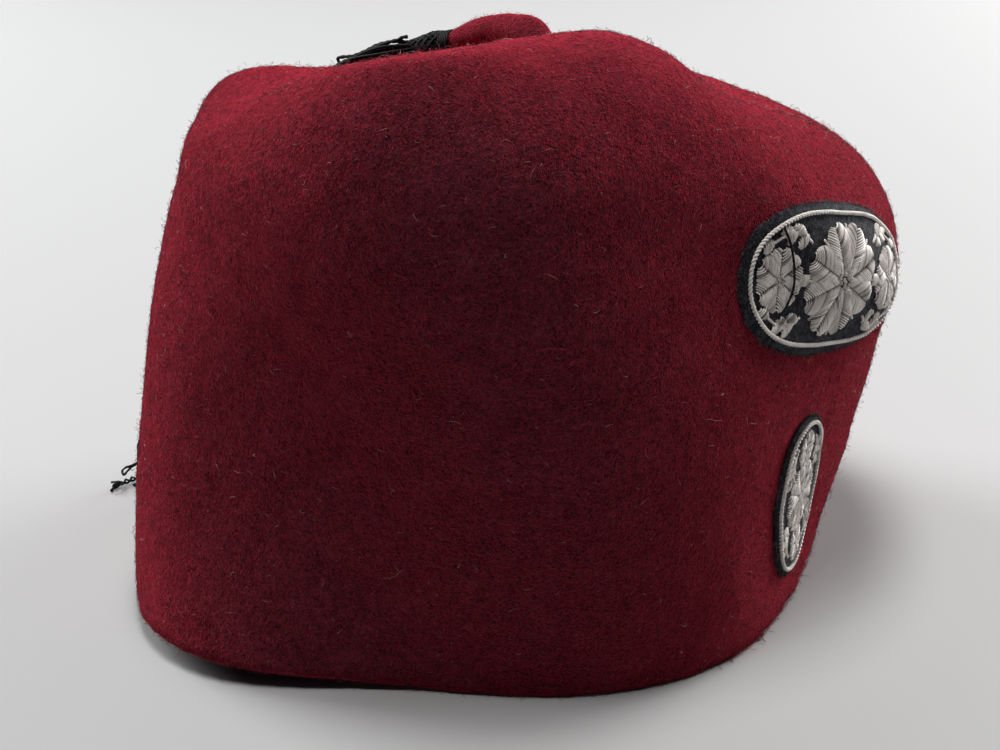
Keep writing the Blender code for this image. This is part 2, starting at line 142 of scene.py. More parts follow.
def spoke_curves():
    """Closed cubic curves through the spokes' values, as in the CAD."""
    data = np.array(SPOKES, float)
    at, values = data[:, 0], data[:, 1:]
    count = len(at)
    step = np.diff(np.append(at, at[0] + 360.0))
    matrix, right = np.zeros((count, count)), np.zeros_like(values)
    for i in range(count):
        before, after = (i - 1) % count, (i + 1) % count
        h0, h1 = step[before], step[i]
        matrix[i, before] += h0
        matrix[i, i] += 2.0 * (h0 + h1)
        matrix[i, after] += h1
        right[i] = 6.0 * ((values[after] - values[i]) / h1 - (values[i] - values[before]) / h0)
    return at, values, step, np.linalg.solve(matrix, right)


AT, VALUES, STEP, CURVE = spoke_curves()


def spokes_at(bearing):
    bearing = np.mod(bearing, 360.0)
    i = np.searchsorted(AT, bearing, side="right") - 1
    j = (i + 1) % len(AT)
    h = STEP[i]
    a = ((h - (bearing - AT[i])) / h)[..., None]
    b = 1.0 - a
    row = (a * VALUES[i] + b * VALUES[j]
           + ((a ** 3 - a) * CURVE[i] + (b ** 3 - b) * CURVE[j]) * (h * h)[..., None] / 6.0)
    return dict(zip(SPOKE_COLUMNS[1:], np.moveaxis(row, -1, 0)))


def away(bearing):
    """The level direction from the hat's middle line at a bearing."""
    angle = np.radians(bearing)
    return np.stack([-np.sin(angle), -np.cos(angle), np.zeros_like(angle)], -1)


def rim_lift(bearing):
    off = (bearing - RIM_LIFT["bearing"] + 180.0) % 360.0 - 180.0
    share = np.clip(np.abs(off) / RIM_LIFT["half_angle"], 0.0, 1.0)
    return RIM_LIFT["height"] * np.cos(share * math.pi / 2.0) ** 2


def skin(bearing, t):
    """The CAD's outer skin: t runs 0 to 1 up the wall, 1 to 2 round the
    shoulder and 2 to 3 across the crown."""
    bearing, t = np.broadcast_arrays(np.asarray(bearing, float), np.asarray(t, float))
    s = spokes_at(bearing)
    top = s["edge_z"] - s["round_up"]
    wall, turn, crown = (np.clip(t - start, 0, 1) for start in range(3))
    angle = turn * math.pi / 2.0
    shift = eased(crown)
    radius = np.where(t <= 1, s["rim"] + (s["shoulder"] - s["rim"]) * wall
                      + s["belly"] * 4.0 * wall * (1.0 - wall),
                      np.where(t <= 2, s["shoulder"] - s["round_in"] * (1.0 - np.cos(angle)),
                               (s["shoulder"] - s["round_in"]) * (1.0 - crown)))
    z = np.where(t <= 1, top * wall + rim_lift(bearing) * (1.0 - wall) ** 3,
                 np.where(t <= 2, top + s["round_up"] * np.sin(angle),
                          s["edge_z"] + (CROWN["z"] - s["edge_z"]) * shift
                          - s["sag"] * 16.0 * (crown * (1.0 - crown)) ** 2))
    point = away(bearing) * radius[..., None]
    point[..., 0] += CROWN["x"] * shift
    point[..., 1] += CROWN["y"] * shift
    for x, y, size, height in SWELLINGS:
        off = ((point[..., 0] - x) ** 2 + (point[..., 1] - y) ** 2) / (2.0 * size ** 2)
        z = z + height * np.exp(-off) * turn
    point[..., 2] = z
    return point


def cad_shift():
    """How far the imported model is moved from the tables' own origin."""
    bearings = np.arange(CAD_BEARINGS) * 360.0 / CAD_BEARINGS
    corner = skin(bearings, np.array(CAD_ROWS)[:, None]).reshape(-1, 3).min(0)
    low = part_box("felt_body")[0]
    return np.array([low.x / MM - corner[0], low.y / MM - corner[1], 0.0])


SHIFT = cad_shift()

LATTICE = RNG.uniform(-1.0, 1.0, (32, 32, 32))


def ripple(points, size):
    """Smooth noise from -1 to 1 whose features are about that many mm wide."""
    q = np.asarray(points, float) / size
    base = np.floor(q).astype(int)
    f = eased(q - base)
    total = 0.0
    for corner in np.ndindex(2, 2, 2):
        share = np.where(corner, f, 1 - f)
        x, y, z = np.moveaxis((base + corner) % len(LATTICE), -1, 0)
        total = total + np.prod(share, axis=-1) * LATTICE[x, y, z]
    return total


def lumps(points, *layers):
    """Layers of ripple added up: each has a height, a width and its offset in
    the noise."""
    return sum(height * ripple(points + offset, width) for height, width, offset in layers)


COLUMNS = 240
ROWS = np.concatenate([np.linspace(0, 1, 43), 1 + np.linspace(0, 1, 29)[1:],
                       2 + np.linspace(0, 0.79, 31)[1:]])
RUN_STEP = 0.25
SHOULDER_WIDTH = 0.11        # in t, how far the softening of the shoulder's start reaches
SOFTENINGS = 8
CALM_RIM = 0.06              # in t, where the lumps fade out towards the rim


class Surface:
    """The felt's outer face as a fine grid, softer than the CAD where the wall
    meets the shoulder, with the slight lumps of a moulded felt."""

    def __init__(self):
        self.bearings = np.arange(COLUMNS) * 360.0 / COLUMNS
        self.grid = skin(self.bearings, ROWS[:, None])
        near = np.exp(-((ROWS - 1.0) / SHOULDER_WIDTH) ** 2)[1:-1, None, None]
        for _ in range(SOFTENINGS):
            middle = 0.5 * (self.grid[:-2] + self.grid[2:])
            self.grid[1:-1] += 0.5 * near * (middle - self.grid[1:-1])
        self.set_normals()
        calm = np.clip(ROWS / CALM_RIM, 0, 1)[:, None]
        height = lumps(self.grid, (0.40, 17.0, 0.0), (0.22, 7.0, 40.0), (0.10, 3.2, 90.0)) * calm
        self.grid = self.grid + self.normals * height[..., None]
        self.set_normals()
        steps = np.linalg.norm(np.diff(self.grid, axis=0), axis=-1)
        self.run = np.concatenate([np.zeros((1, COLUMNS)), np.cumsum(steps, 0)])
        even = np.arange(0.0, self.run[-1].min(), RUN_STEP)
        self.t_by_run = np.stack([np.interp(even, run, ROWS) for run in self.run.T], 1)[..., None]

    def set_normals(self):
        up = np.gradient(self.grid, axis=0)
        around = 0.5 * (np.roll(self.grid, -1, 1) - np.roll(self.grid, 1, 1))
        self.normals = unit(np.cross(up, around))

    def look(self, field, bearing, row):
        """Values of a field at places between its rows and columns."""
        column = np.mod(bearing, 360.0) / 360.0 * COLUMNS
        c0 = np.floor(column).astype(int)
        fc = (column - c0)[..., None]
        r0 = np.clip(np.floor(row).astype(int), 0, len(field) - 2)
        fr = np.clip(row - r0, 0, 1)[..., None]
        c0, c1 = c0 % COLUMNS, (c0 + 1) % COLUMNS
        return ((field[r0, c0] * (1 - fc) + field[r0, c1] * fc) * (1 - fr)
                + (field[r0 + 1, c0] * (1 - fc) + field[r0 + 1, c1] * fc) * fr)

    def at(self, bearing, t, height=0.0):
        """Points standing height off the felt."""
        bearing, t, height = np.broadcast_arrays(
            np.asarray(bearing, float), np.asarray(t, float), np.asarray(height, float))
        row = np.interp(t, ROWS, np.arange(len(ROWS)))
        return (self.look(self.grid, bearing, row)
                + unit(self.look(self.normals, bearing, row)) * height[..., None])

    def by_run(self, bearing, run, height):
        """The same, with the distance up the felt from the rim in place of t."""
        bearing, run, height = np.broadcast_arrays(bearing, run, height)
        t = self.look(self.t_by_run, bearing, run / RUN_STEP)[..., 0]
        return self.at(bearing, t, height)


felt = Surface()


# ---------------------------------------------------------------- meshes

def linked(name, data):
    made = bpy.data.objects.new(name, data)
    bpy.context.scene.collection.objects.link(made)
    return made


def object_of(name, verts, faces, materials, index=None):
    """A new piece from points in mm and arrays of faces of one size each."""
    verts = (np.asarray(verts, float).reshape(-1, 3) + SHIFT) * MM
    arrays = [np.asarray(f, np.int32) for f in faces]
    sizes = np.concatenate([np.full(len(a), a.shape[1], np.int32) for a in arrays])
    corners = np.concatenate([a.ravel() for a in arrays])
    starts = np.concatenate([[0], np.cumsum(sizes)[:-1]])
    mesh = bpy.data.meshes.new(name)
    mesh.vertices.add(len(verts))
    mesh.vertices.foreach_set("co", verts.astype(np.float32).ravel())
    mesh.loops.add(len(corners))
    mesh.loops.foreach_set("vertex_index", corners)
    mesh.polygons.add(len(sizes))
    mesh.polygons.foreach_set("loop_start", starts.astype(np.int32))
    for material in materials:
        mesh.materials.append(material)
    if index is not None:
        mesh.polygons.foreach_set("material_index", np.asarray(index, np.int32))
    mesh.update(calc_edges=True)
    mesh.validate()
    mesh.shade_smooth()
    made = linked(name, mesh)
    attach(made, "root")
    return made


class Rings:
    """Points laid in rings, and the faces that close them to a solid."""

    def __init__(self):
        self.points, self.quads, self.tris = [], [], []
        self.count = 0

    def add(self, points):
        """Adds a ring and returns its points' numbers."""
        self.points.append(points)
        self.count += len(points)
        return list(range(self.count - len(points), self.count))

    def span(self, rings, turn=1):
        """Faces from each ring to the next, which may be coarser.  A turn of -1
        faces them the other way."""
        for lower, upper in zip(rings, rings[1:]):
            ratio = len(lower) // len(upper)
            for j, a in enumerate(upper):
                b = upper[(j + 1) % len(upper)]
                low = [lower[(j * ratio + k) % len(lower)] for k in range(ratio + 1)]
                if ratio == 1:
                    self.quads.append((low[0], a, b, low[1])[::turn])
                    continue
                half = ratio // 2
                for k in range(ratio):
                    self.tris.append((low[k], a if k < half else b, low[k + 1])[::turn])
                self.tris.append((low[half], a, b)[::turn])

    def fan(self, ring, point, turn=1):
        """Closes a ring with one point."""
        end = self.add(point[None])[0]
        self.tris += [(a, end, b)[::turn] for a, b in zip(ring, ring[1:] + ring[:1])]

    def piece(self, name, materials, index=None):
        faces = [np.array(self.quads), np.array(self.tris)]
        return object_of(name, np.concatenate(self.points), faces, materials, index)


def crosswise(paths):
    """Two directions across each point of paths (n, k, 3), without twist."""
    tangent = unit(np.gradient(paths, axis=1))
    side = np.empty_like(paths)
    helper = np.where(np.abs(tangent[:, 0, 2:3]) < 0.8, [[0.0, 0.0, 1.0]], [[1.0, 0.0, 0.0]])
    last = unit(np.cross(tangent[:, 0], helper))
    for i in range(paths.shape[1]):
        last = unit(last - tangent[:, i] * np.sum(last * tangent[:, i], -1, keepdims=True))
        side[:, i] = last
    return side, np.cross(tangent, side)


def tubes(paths, radius, sides=6, lobes=0.0, pitch=3.0):
    """Closed tubes along paths (n, k, 3).  lobes makes them two-ply: the
    section's swelling turns once in each pitch."""
    paths = np.asarray(paths, float)
    n, k = paths.shape[:2]
    side, up = crosswise(paths)
    a = np.arange(sides)
    angle = a * math.tau / sides
    steps = np.linalg.norm(np.diff(paths, axis=1), axis=-1)
    run = np.concatenate([np.zeros((n, 1)), np.cumsum(steps, 1)], 1)[..., None]
    swell = 1.0 + lobes * np.cos(2.0 * angle - math.tau * run / pitch)
    reach = np.reshape(radius, (-1, 1, 1)) * swell
    verts = (paths[:, :, None] + side[:, :, None] * (np.cos(angle) * reach)[..., None]
             + up[:, :, None] * (np.sin(angle) * reach)[..., None])
    base = np.arange(n)[:, None] * (k * sides)
    ring = base[..., None] + np.arange(k - 1)[:, None] * sides
    b = (a + 1) % sides
    quads = np.stack([ring + a, ring + b, ring + sides + b, ring + sides + a], -1)
    ends = np.concatenate([base + a[::-1], base + (k - 1) * sides + a])
    return verts.reshape(-1, 3), quads.reshape(-1, 4), ends


def joined(parts):
    """One set of points, quads and end faces from several tubes() results."""
    verts, quads, ends, start = [], [], {}, 0
    for v, q, e in parts:
        verts.append(v)
        quads.append(q + start)
        ends.setdefault(e.shape[1], []).append(e + start)
        start += len(v)
    return np.concatenate(verts), [np.concatenate(f) for f in [quads, *ends.values()]]


def fibres(paths, radius, blunt=False):
    """Closed three-sided fibres along paths (n, k, 3), pointed at both ends or
    only at the far one, and how many faces each has."""
    n, k = paths.shape[:2]
    first = 0 if blunt else 1
    side, up = crosswise(paths)
    angle = np.arange(3)[:, None] * math.tau / 3.0
    thin = np.linspace(1.0, 0.55, k)[:-1] if blunt else np.ones(k - 2)
    out = side[:, first:-1, None] * np.cos(angle) + up[:, first:-1, None] * np.sin(angle)
    rings = paths[:, first:-1, None] + radius[:, None, None, None] * thin[:, None, None] * out
    verts = np.concatenate([rings.reshape(n, -1, 3), paths[:, :first], paths[:, -1:]], 1)
    size, last = verts.shape[1], 3 * (len(thin) - 1)
    faces = [(0, 2, 1)] if blunt else []
    for a, b in ((0, 1), (1, 2), (2, 0)):
        if not blunt:
            faces.append((size - 2, b, a))
        for p in range(0, last, 3):
            faces += [(p + a, p + b, p + b + 3), (p + a, p + b + 3, p + a + 3)]
        faces.append((last + a, last + b, size - 1))
    numbers = np.arange(n)[:, None, None] * size + np.array(faces)
    return verts.reshape(-1, 3), numbers.reshape(-1, 3), len(faces)


def through(points, spacing):
    """A smooth path through the points, evenly spaced."""
    p = np.asarray(points, float)
    p = np.concatenate([2 * p[:1] - p[1:2], p, 2 * p[-1:] - p[-2:-1]])
    f = np.linspace(0, 1, 16, endpoint=False)[:, None]
    dense = []
    for a, b, c, d in zip(p, p[1:], p[2:], p[3:]):
        dense.append(0.5 * (2 * b + (c - a) * f + (2 * a - 5 * b + 4 * c - d) * f ** 2
                            + (3 * b - a - 3 * c + d) * f ** 3))
    dense = np.concatenate(dense + [p[-2:-1]])
    run = np.concatenate([[0], np.cumsum(np.linalg.norm(np.diff(dense, axis=0), axis=1))])
    at = np.linspace(0, run[-1], max(4, int(run[-1] / spacing)))
    return np.stack([np.interp(at, run, values) for values in dense.T], 1)


# ---------------------------------------------------------------- materials

class Nodes:
    """Short hand for building a material.  A node's or the shader's input
    takes a value or another node's output."""

    def __init__(self, name):
        self.material = bpy.data.materials.new(name)
        self.material.use_nodes = True
        self.tree = self.material.node_tree
        self.shader = self.tree.nodes["Principled BSDF"]

    def fill(self, socket, value):
        if isinstance(value, bpy.types.NodeSocket):
            self.tree.links.new(value, socket)
        else:
            socket.default_value = value

    def add(self, kind, inputs=None, **settings):
        node = self.tree.nodes.new("ShaderNode" + kind)
        for key, value in settings.items():
            setattr(node, key, value)
        for key, value in (inputs or {}).items():
            self.fill(node.inputs[key], value)
        return node

    def set(self, **values):
        for key, value in values.items():
            socket = self.shader.inputs[key.replace("_", " ").title().replace("Ior", "IOR")]
            self.fill(socket, (*value, 1.0) if isinstance(value, tuple) else value)
        return self.material

    def place(self):
        return self.add("TexCoord").outputs["Object"]

    def noise(self, scale, detail=3.0, rough=0.55, twist=0.0):
        """Noise with scale units to a mm."""
        place = self.add("Mapping", {"Vector": self.place(), "Scale": (scale / MM,) * 3})
        values = {"Vector": place.outputs["Vector"], "Scale": 1.0, "Detail": detail,
                  "Roughness": rough, "Distortion": twist}
        return self.add("TexNoise", values).outputs["Fac"]

    def between(self, source, low, high, start=0.0, end=1.0):
        """From start to end, softly, as the source goes from low to high."""
        values = {"Value": source, "From Min": low, "From Max": high, "To Min": start, "To Max": end}
        return self.add("MapRange", values, interpolation_type="SMOOTHSTEP").outputs["Result"]

    def curls(self, scale, width, twist):
        """Thin curled lines, 1 on the line and 0 off it, from where a noise
        crosses its middle value."""
        off = self.maths("SUBTRACT", self.noise(scale, 1.0, 0.5, twist), 0.5)
        return self.between(self.maths("ABSOLUTE", off, 0.0), 0.0, width, 1.0, 0.0)

    def rising(self, low, high):
        """From 0 to 1 between two heights in metres."""
        return self.between(self.add("SeparateXYZ", {0: self.place()}).outputs["Z"], low, high)

    def ramp(self, source, *stops):
        node = self.add("ValToRGB", {"Fac": source})
        elements = node.color_ramp.elements
        while len(elements) < len(stops):
            elements.new(0.5)
        for element, (at, colour) in zip(elements, stops):
            element.position = at
            element.color = (*colour, 1.0)
        return node.outputs["Color"]

    def maths(self, kind, a, b):
        return self.add("Math", {0: a, 1: b}, operation=kind).outputs[0]

    def total(self, *terms):
        """The sum of the sources, each times its weight."""
        parts = [self.maths("MULTIPLY", source, weight) for source, weight in terms]
        whole = parts[0]
        for part in parts[1:]:
            whole = self.maths("ADD", whole, part)
        return whole

    def bump(self, height, distance, strength):
        values = {"Height": height, "Distance": distance * MM, "Strength": strength}
        return self.add("Bump", values).outputs["Normal"]


def felt_material(name, painted_highlight):
    """Matted wool: a mesh of thin curled lines over darker hollows, with
    drifts where the red is stronger, a painted highlight that lightens it towards
    the top of the crown, and a bright nap where it is seen edge on.  Its second
    argument lightens all of it as a further painted highlight."""
    n = Nodes(name)
    drifts = n.noise(0.10, 3.0, 0.6)
    clumps = n.noise(0.50, 2.0, 0.6, 0.6)
    grain = n.noise(1.45, 2.0, 0.75, 0.7)
    curls = n.maths("ADD", n.curls(0.55, 0.075, 1.2), n.curls(0.95, 0.09, 0.9))
    curls = n.maths("ADD", curls, n.curls(1.5, 0.11, 0.6))
    # Besides its own tones, the felt gets lighter with height near the crown's top: painted highlight.
    shade = n.total((clumps, 0.28), (grain, 0.60), (curls, 0.11), (drifts, 0.30),
                    (n.rising(0.116, 0.132), 0.085))
    # The second argument lifts the whole tone: painted highlight.
    shade = n.maths("ADD", shade, painted_highlight)
    nap = n.maths("MULTIPLY", n.maths("SUBTRACT", shade, 0.50), 4.2)
    lumps = n.maths("ADD", n.maths("ADD", clumps, grain), n.maths("MULTIPLY", curls, 0.30))
    return n.set(
        base_color=n.ramp(shade, (0.52, (0.0110, 0.0054, 0.0072)), (0.63, (0.0305, 0.0122, 0.0168)),
                          (0.735, (0.0610, 0.0200, 0.0278)), (0.85, (0.1060, 0.0282, 0.0412)),
                          (0.94, (0.1800, 0.0400, 0.0580))),
        roughness=1.0, specular_ior_level=0.03, sheen_roughness=0.45, sheen_tint=(1.0, 0.040, 0.085),
        sheen_weight=n.ramp(nap, (0.0, (0.72,) * 3), (1.0, (1.0,) * 3)), normal=n.bump(lumps, 0.7, 1.0))


def plain_fibre(name, colour, roughness=0.75):
    return Nodes(name).set(base_color=colour, roughness=roughness, specular_ior_level=0.06)


def cord_material():
    n = Nodes("black_cord")
    fluff = n.noise(2.2, 3.0, 0.7)
    return n.set(base_color=n.ramp(fluff, (0.35, (0.0020, 0.0020, 0.0024)), (0.7, (0.0080, 0.0077, 0.0088))),
                 roughness=0.75, specular_ior_level=0.12, sheen_weight=0.05, sheen_roughness=0.5,
                 sheen_tint=(0.5, 0.55, 0.55))


def cloth_material():
    n = Nodes("patch_cloth")
    grain = n.noise(4.5, 3.0, 0.75)
    shade = n.total((n.noise(0.9, 3.0, 0.6), 0.55), (grain, 0.45))
    return n.set(base_color=n.ramp(shade, (0.40, (0.0050, 0.0055, 0.0090)), (0.5, (0.0170, 0.0175, 0.0240)),
                                   (0.61, (0.0700, 0.0700, 0.0760))),
                 roughness=0.95, specular_ior_level=0.10, sheen_weight=0.16, sheen_roughness=0.5,
                 sheen_tint=(0.5, 0.5, 0.55), normal=n.bump(grain, 0.25, 0.9))


def silver_material(name, low, high):
    n = Nodes(name)
    shade = n.total((n.noise(0.5, 4.0, 0.6), 0.6), (n.noise(5.0, 2.0, 0.6), 0.4))
    return n.set(base_color=n.ramp(shade, (0.36, low), (0.62, high)), roughness=0.58,
                 specular_ior_level=0.35, sheen_weight=0.12, sheen_roughness=0.5,
                 sheen_tint=(0.9, 0.86, 0.83))


RED_FELT = felt_material("red_felt", 0.0)
# The stalk gets a lighter copy of the felt: painted highlight where light falls on it from above.
STALK_FELT_PAINTED_LIGHT = felt_material("red_felt_stalk_painted_highlight", 0.11)
FIBRES = [plain_fibre("fibre_" + tone, colour) for tone, colour in (
    ("deep", (0.0205, 0.0068, 0.0095)), ("dark", (0.070, 0.0158, 0.0228)),
    ("red", (0.160, 0.0220, 0.0340)), ("bright", (0.340, 0.0340, 0.0540)),
    ("dusty", (0.190, 0.0600, 0.0720)), ("pale", (0.460, 0.2300, 0.2200)))]
FIBRE_SHARES = (0.19, 0.24, 0.30, 0.15, 0.105, 0.015)
LINT = plain_fibre("lint", (0.62, 0.52, 0.50))
FLECK = plain_fibre("orange_fleck", (0.62, 0.16, 0.06))
BLACK_CORD = cord_material()
BLACK_THREAD = plain_fibre("black_thread", (0.012, 0.011, 0.013), 0.6)
PATCH_CLOTH = cloth_material()
PATCH_FIBRES = [plain_fibre("patch_fibre_dark", (0.012, 0.013, 0.018)),
                plain_fibre("patch_fibre_grey", (0.120, 0.118, 0.122))]
SILVERS = [silver_material("silver_thread", (0.66, 0.605, 0.570), (0.88, 0.830, 0.790)),
           silver_material("silver_thread_worn", (0.47, 0.43, 0.40), (0.67, 0.62, 0.585)),
           silver_material("silver_thread_deep", (0.17, 0.155, 0.145), (0.32, 0.295, 0.28))]


# ---------------------------------------------------------------- felt body

STALK_SIDES = 30
ROOT = ((8.0, 0.3), (6.9, 0.42), (6.0, 0.62), (5.3, 0.86), (4.65, 1.15))     # radius, height
BEND_RINGS = 14
FINGER_RINGS = 26
TIP_ANGLES = (25, 48, 68, 82)
TIP_BULGE = 0.8              # the rounded tip's length by its radius
BEND_SHARE = 6.0 / 11.0      # where the bend ends, along the curve of the stalk's radius


def stalk_rings():
    """Centre, direction and radius of each ring from the root to the tip, and
    the level direction that the stalk bends to."""
    root = skin(0.0, 3.0)
    ahead = away(np.float64(STALK["heading"]))
    made = [(root + UP * height, UP, radius) for radius, height in ROOT]

    def add(point, heading, along):
        radius = (STALK["radius"] + (STALK["tip_radius"] - STALK["radius"]) * along ** 2
                  + STALK["belly"] * math.sin(math.pi * along))
        made.append((point, heading, radius))

    for i in range(1, BEND_RINGS + 1):
        angle = math.radians(STALK["droop"]) * i / BEND_RINGS
        point = (root + UP * (STALK["rise"] + STALK["bend"] * math.sin(angle))
                 + ahead * STALK["bend"] * (1.0 - math.cos(angle)))
        add(point, UP * math.cos(angle) + ahead * math.sin(angle), BEND_SHARE * i / BEND_RINGS)
    droop = STALK["tip_droop"] - STALK["droop"]
    for i in range(1, FINGER_RINGS + 1):
        angle = math.radians(STALK["droop"] + droop * (i - 0.5) / FINGER_RINGS)
        heading = UP * math.cos(angle) + ahead * math.sin(angle)
        point = point + heading * (STALK["length"] - STALK["bend"]) / FINGER_RINGS
        add(point, heading, BEND_SHARE + (1 - BEND_SHARE) * i / FINGER_RINGS)
    point, heading, radius = made[-1]
    for angle in map(math.radians, TIP_ANGLES):
        end = point + heading * TIP_BULGE * radius * math.sin(angle)
        made.append((end, heading, radius * math.cos(angle)))
    return made, ahead


def stalk_grid():
    """The stalk's rings of points, bearing 0 first, and its outward normals."""
    rings, ahead = stalk_rings()
    centres, headings, radii = (np.array(values)[:, None] for values in zip(*rings))
    side = quarter(ahead)
    phase = math.atan2(FRONT @ np.cross(UP, side), FRONT @ side)
    angle = (phase - math.tau * np.arange(STALK_SIDES) / STALK_SIDES)[:, None]
    normals = side * np.cos(angle) - unit(np.cross(side, headings)) * np.sin(angle)
    points = centres + normals * radii[..., None]
    soft = np.clip((np.arange(len(points)) - 4) / 6.0, 0, 1)[:, None, None]
    height = lumps(points, (0.22, 3.4, 0.0), (0.16, 7.0, 30.0))
    return points + normals * soft * height[..., None], normals


def felt_body():
    out, edge = away(felt.bearings), felt.grid[0]
    rough = lumps(edge, (0.26, 1.9, 0.0), (0.20, 5.0, 11.0))[:, None]
    nick = np.clip(ripple(edge + 70, 1.6) - 0.45, 0, 1)[:, None] * 0.8
    fading = np.clip(1 - ROWS / 0.05, 0, 1)
    body = Rings()
    rings = [body.add(edge - out * (0.75 - rough) + UP * nick * 0.5),
             body.add(edge - out * (0.18 - rough) + UP * (0.28 + nick))]
    # Towards the crown's middle the rings get coarser.
    for r, t in enumerate(ROWS[1:], 1):
        step = 1 if t < 2.34 else 2 if t < 2.62 else 4
        rings.append(body.add((felt.grid[r] + out * (rough * fading[r]))[::step]))
    outer = len(rings)
    stalk, _ = stalk_grid()
    rings += [body.add(row) for row in stalk]
    body.span(rings)
    body.fan(rings[-1], np.mean(stalk[-1], 0))

    # Inside, the felt's other face, plainly finished.
    inner = [body.add((edge - out * (FELT - 0.7))[::3]),
             body.add((edge - out * (FELT - 0.1) + UP * 0.35)[::3])]
    for r in range(2, len(ROWS) - 1, 2):
        step = 3 if ROWS[r] < 2.4 else 12
        inner.append(body.add((felt.grid[r] - felt.normals[r] * FELT)[::step]))
    body.span([rings[0], *inner], -1)
    body.fan(inner[-1], skin(0.0, 3.0) - UP * FELT, -1)
    # The stalk's faces take the lighter copy of the felt: painted highlight.
    low, high = rings[outer + 3][0], inner[0][0]
    on_stalk = [int(all(low <= v < high for v in face)) for face in body.quads + body.tris]
    made = body.piece("felt_hat", [RED_FELT, STALK_FELT_PAINTED_LIGHT], on_stalk)

    # The crown's folds run softly into the stalk's root.
    bm = bmesh.new()
    bm.from_mesh(made.data)
    bm.verts.ensure_lookup_table()
    near = [bm.verts[i] for ring in rings[outer - 7:outer + 6] for i in ring]
    for _ in range(SOFTENINGS):
        bmesh.ops.smooth_vert(bm, verts=near, factor=0.5,
                              use_axis_x=True, use_axis_y=True, use_axis_z=True)
    bm.to_mesh(made.data)
    bm.free()
    made.data.shade_smooth()
    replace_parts(made, "felt_body")


felt_body()


# ---------------------------------------------------------------- patches

def on_patch(patch, x, y, height):
    """Points x across towards the wearer's left and y up the patch."""
    lean = math.radians(patch["tilt"])
    x, y, height = np.broadcast_arrays(x, y, height)
    x, y = x * math.cos(lean) + y * math.sin(lean), y * math.cos(lean) - x * math.sin(lean)
    front = felt.grid[:, 0, 2]
    wall = np.argmax(front)
    run = np.interp(patch["z"], front[:wall], felt.run[:wall, 0]) + y
    middle = felt.by_run(0.0, run, 0.0)
    bearing = -np.degrees(x / np.hypot(middle[..., 0], middle[..., 1]))
    return felt.by_run(bearing, run, height)


def outline(patch, angle):
    c, s = np.cos(angle), np.sin(angle)
    reach = (np.abs(c) ** patch["corner"] + np.abs(s) ** patch["corner"]) ** (-1.0 / patch["corner"])
    return patch["half_wide"] * c * reach, patch["half_high"] * s * reach


def backing(patch):
    count, inner_rings = 192, 22
    x, y = outline(patch, np.arange(count) * math.tau / count)
    flat = np.stack([x, y, np.full(count, patch["noise_at"])], -1)
    ragged = 1.0 + lumps(flat, (0.014, 1.8, 0.0), (0.012, 4.0, 7.0), (0.012, 9.0, 0.0))
    cloth = Rings()
    rings = []
    for share in np.linspace(0, 1, inner_rings + 1)[1:]:
        points = on_patch(patch, x * share * ragged, y * share * ragged, CLOTH_TOP - 0.50 * share ** 12)
        rings.append(cloth.add(points + 0.09 * ripple(points, 1.7)[:, None] * FRONT))
    for share, height in ((1.010, 0.45), (1.012, 0.28), (1.002, 0.12), (0.95, 0.06)):
        rings.append(cloth.add(on_patch(patch, x * share * ragged, y * share * ragged, height)))
    cloth.span(rings)
    cloth.fan(rings[0], on_patch(patch, 0.0, 0.0, CLOTH_TOP), -1)
    cloth.fan(rings[-1], on_patch(patch, 0.0, 0.0, 0.06))
    made = cloth.piece(patch["name"] + "_cloth", [PATCH_CLOTH])
    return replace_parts(made, patch["name"] + "_backing")


STITCH = 0.52         # pitch of the satin stitches
SATIN = 0.205         # radius of their thread
SILVER_SHARES = (0.64, 0.27, 0.09)


def satin(patch, starts, ends, crown):
    """Threads laid side by side from starts to ends, (n, 2) each, arched over
    the padding under them: their tubes, tones and quads for each thread."""
    n, steps, sides = len(starts), 5, 6
    f = np.linspace(0, 1, steps)[:, None]
    line = starts[:, None] * (1 - f) + ends[:, None] * f
    arch = np.sin(math.pi * np.linspace(0.05, 0.95, steps)) ** 0.5
    height = CLOTH_TOP + 0.12 + np.reshape(crown, (-1, 1)) * arch - 0.30 * (1 - arch)
    paths = on_patch(patch, line[..., 0], line[..., 1], height) + RNG.normal(0, 0.014, (n, steps, 3))
    threads = tubes(paths, SATIN * RNG.uniform(0.85, 1.12, n), sides)
    return threads, RNG.choice(3, n, p=SILVER_SHARES), (steps - 1) * sides


def thread_piece(name, parts):
    verts, faces = joined([threads for threads, _, _ in parts])
    index = [np.repeat(tones, quads) for _, tones, quads in parts]
    index += [np.tile(tones, 2) for _, tones, _ in parts]
    return object_of(name, verts, faces, SILVERS, np.concatenate(index))


def turned(patch, points):
    """The x and y of points given along the patch's long way and across it."""
    return points if patch["half_wide"] > patch["half_high"] else points[..., ::-1]


def stitches(length, least):
    """Evenly spaced shares of a length, one for each stitch."""
    count = max(least, int(length / STITCH))
    return (np.arange(count) + 0.5) / count


def petal(patch, centre, angle, inner, outer, half_width, crown):
    """One petal in split satin stitch: two rows of threads that meet on its
    middle line and slant outwards."""
    along = stitches(outer - inner, 5)
    wide = half_width * np.sin(math.pi * np.clip(along * 0.86 + 0.10, 0, 1)) ** 0.62
    place = inner + (outer - inner) * along
    way = np.array([math.cos(angle), math.sin(angle)])
    parts = []
    for hand in (1, -1):
        mid = way * (place - 0.42 * wide)[:, None] + quarter(way) * (hand * 0.16)
        rim = way * (place + 0.38 * wide)[:, None] + quarter(way) * (hand * wide)[:, None]
        limit = np.minimum(1.0, outer / np.maximum(np.linalg.norm(rim, axis=1), 1e-6))[:, None]
        parts.append(satin(patch, turned(patch, mid + centre), turned(patch, rim * limit + centre),
                           crown * (0.4 + 0.6 * np.sin(math.pi * along) ** 0.6)))
    return parts


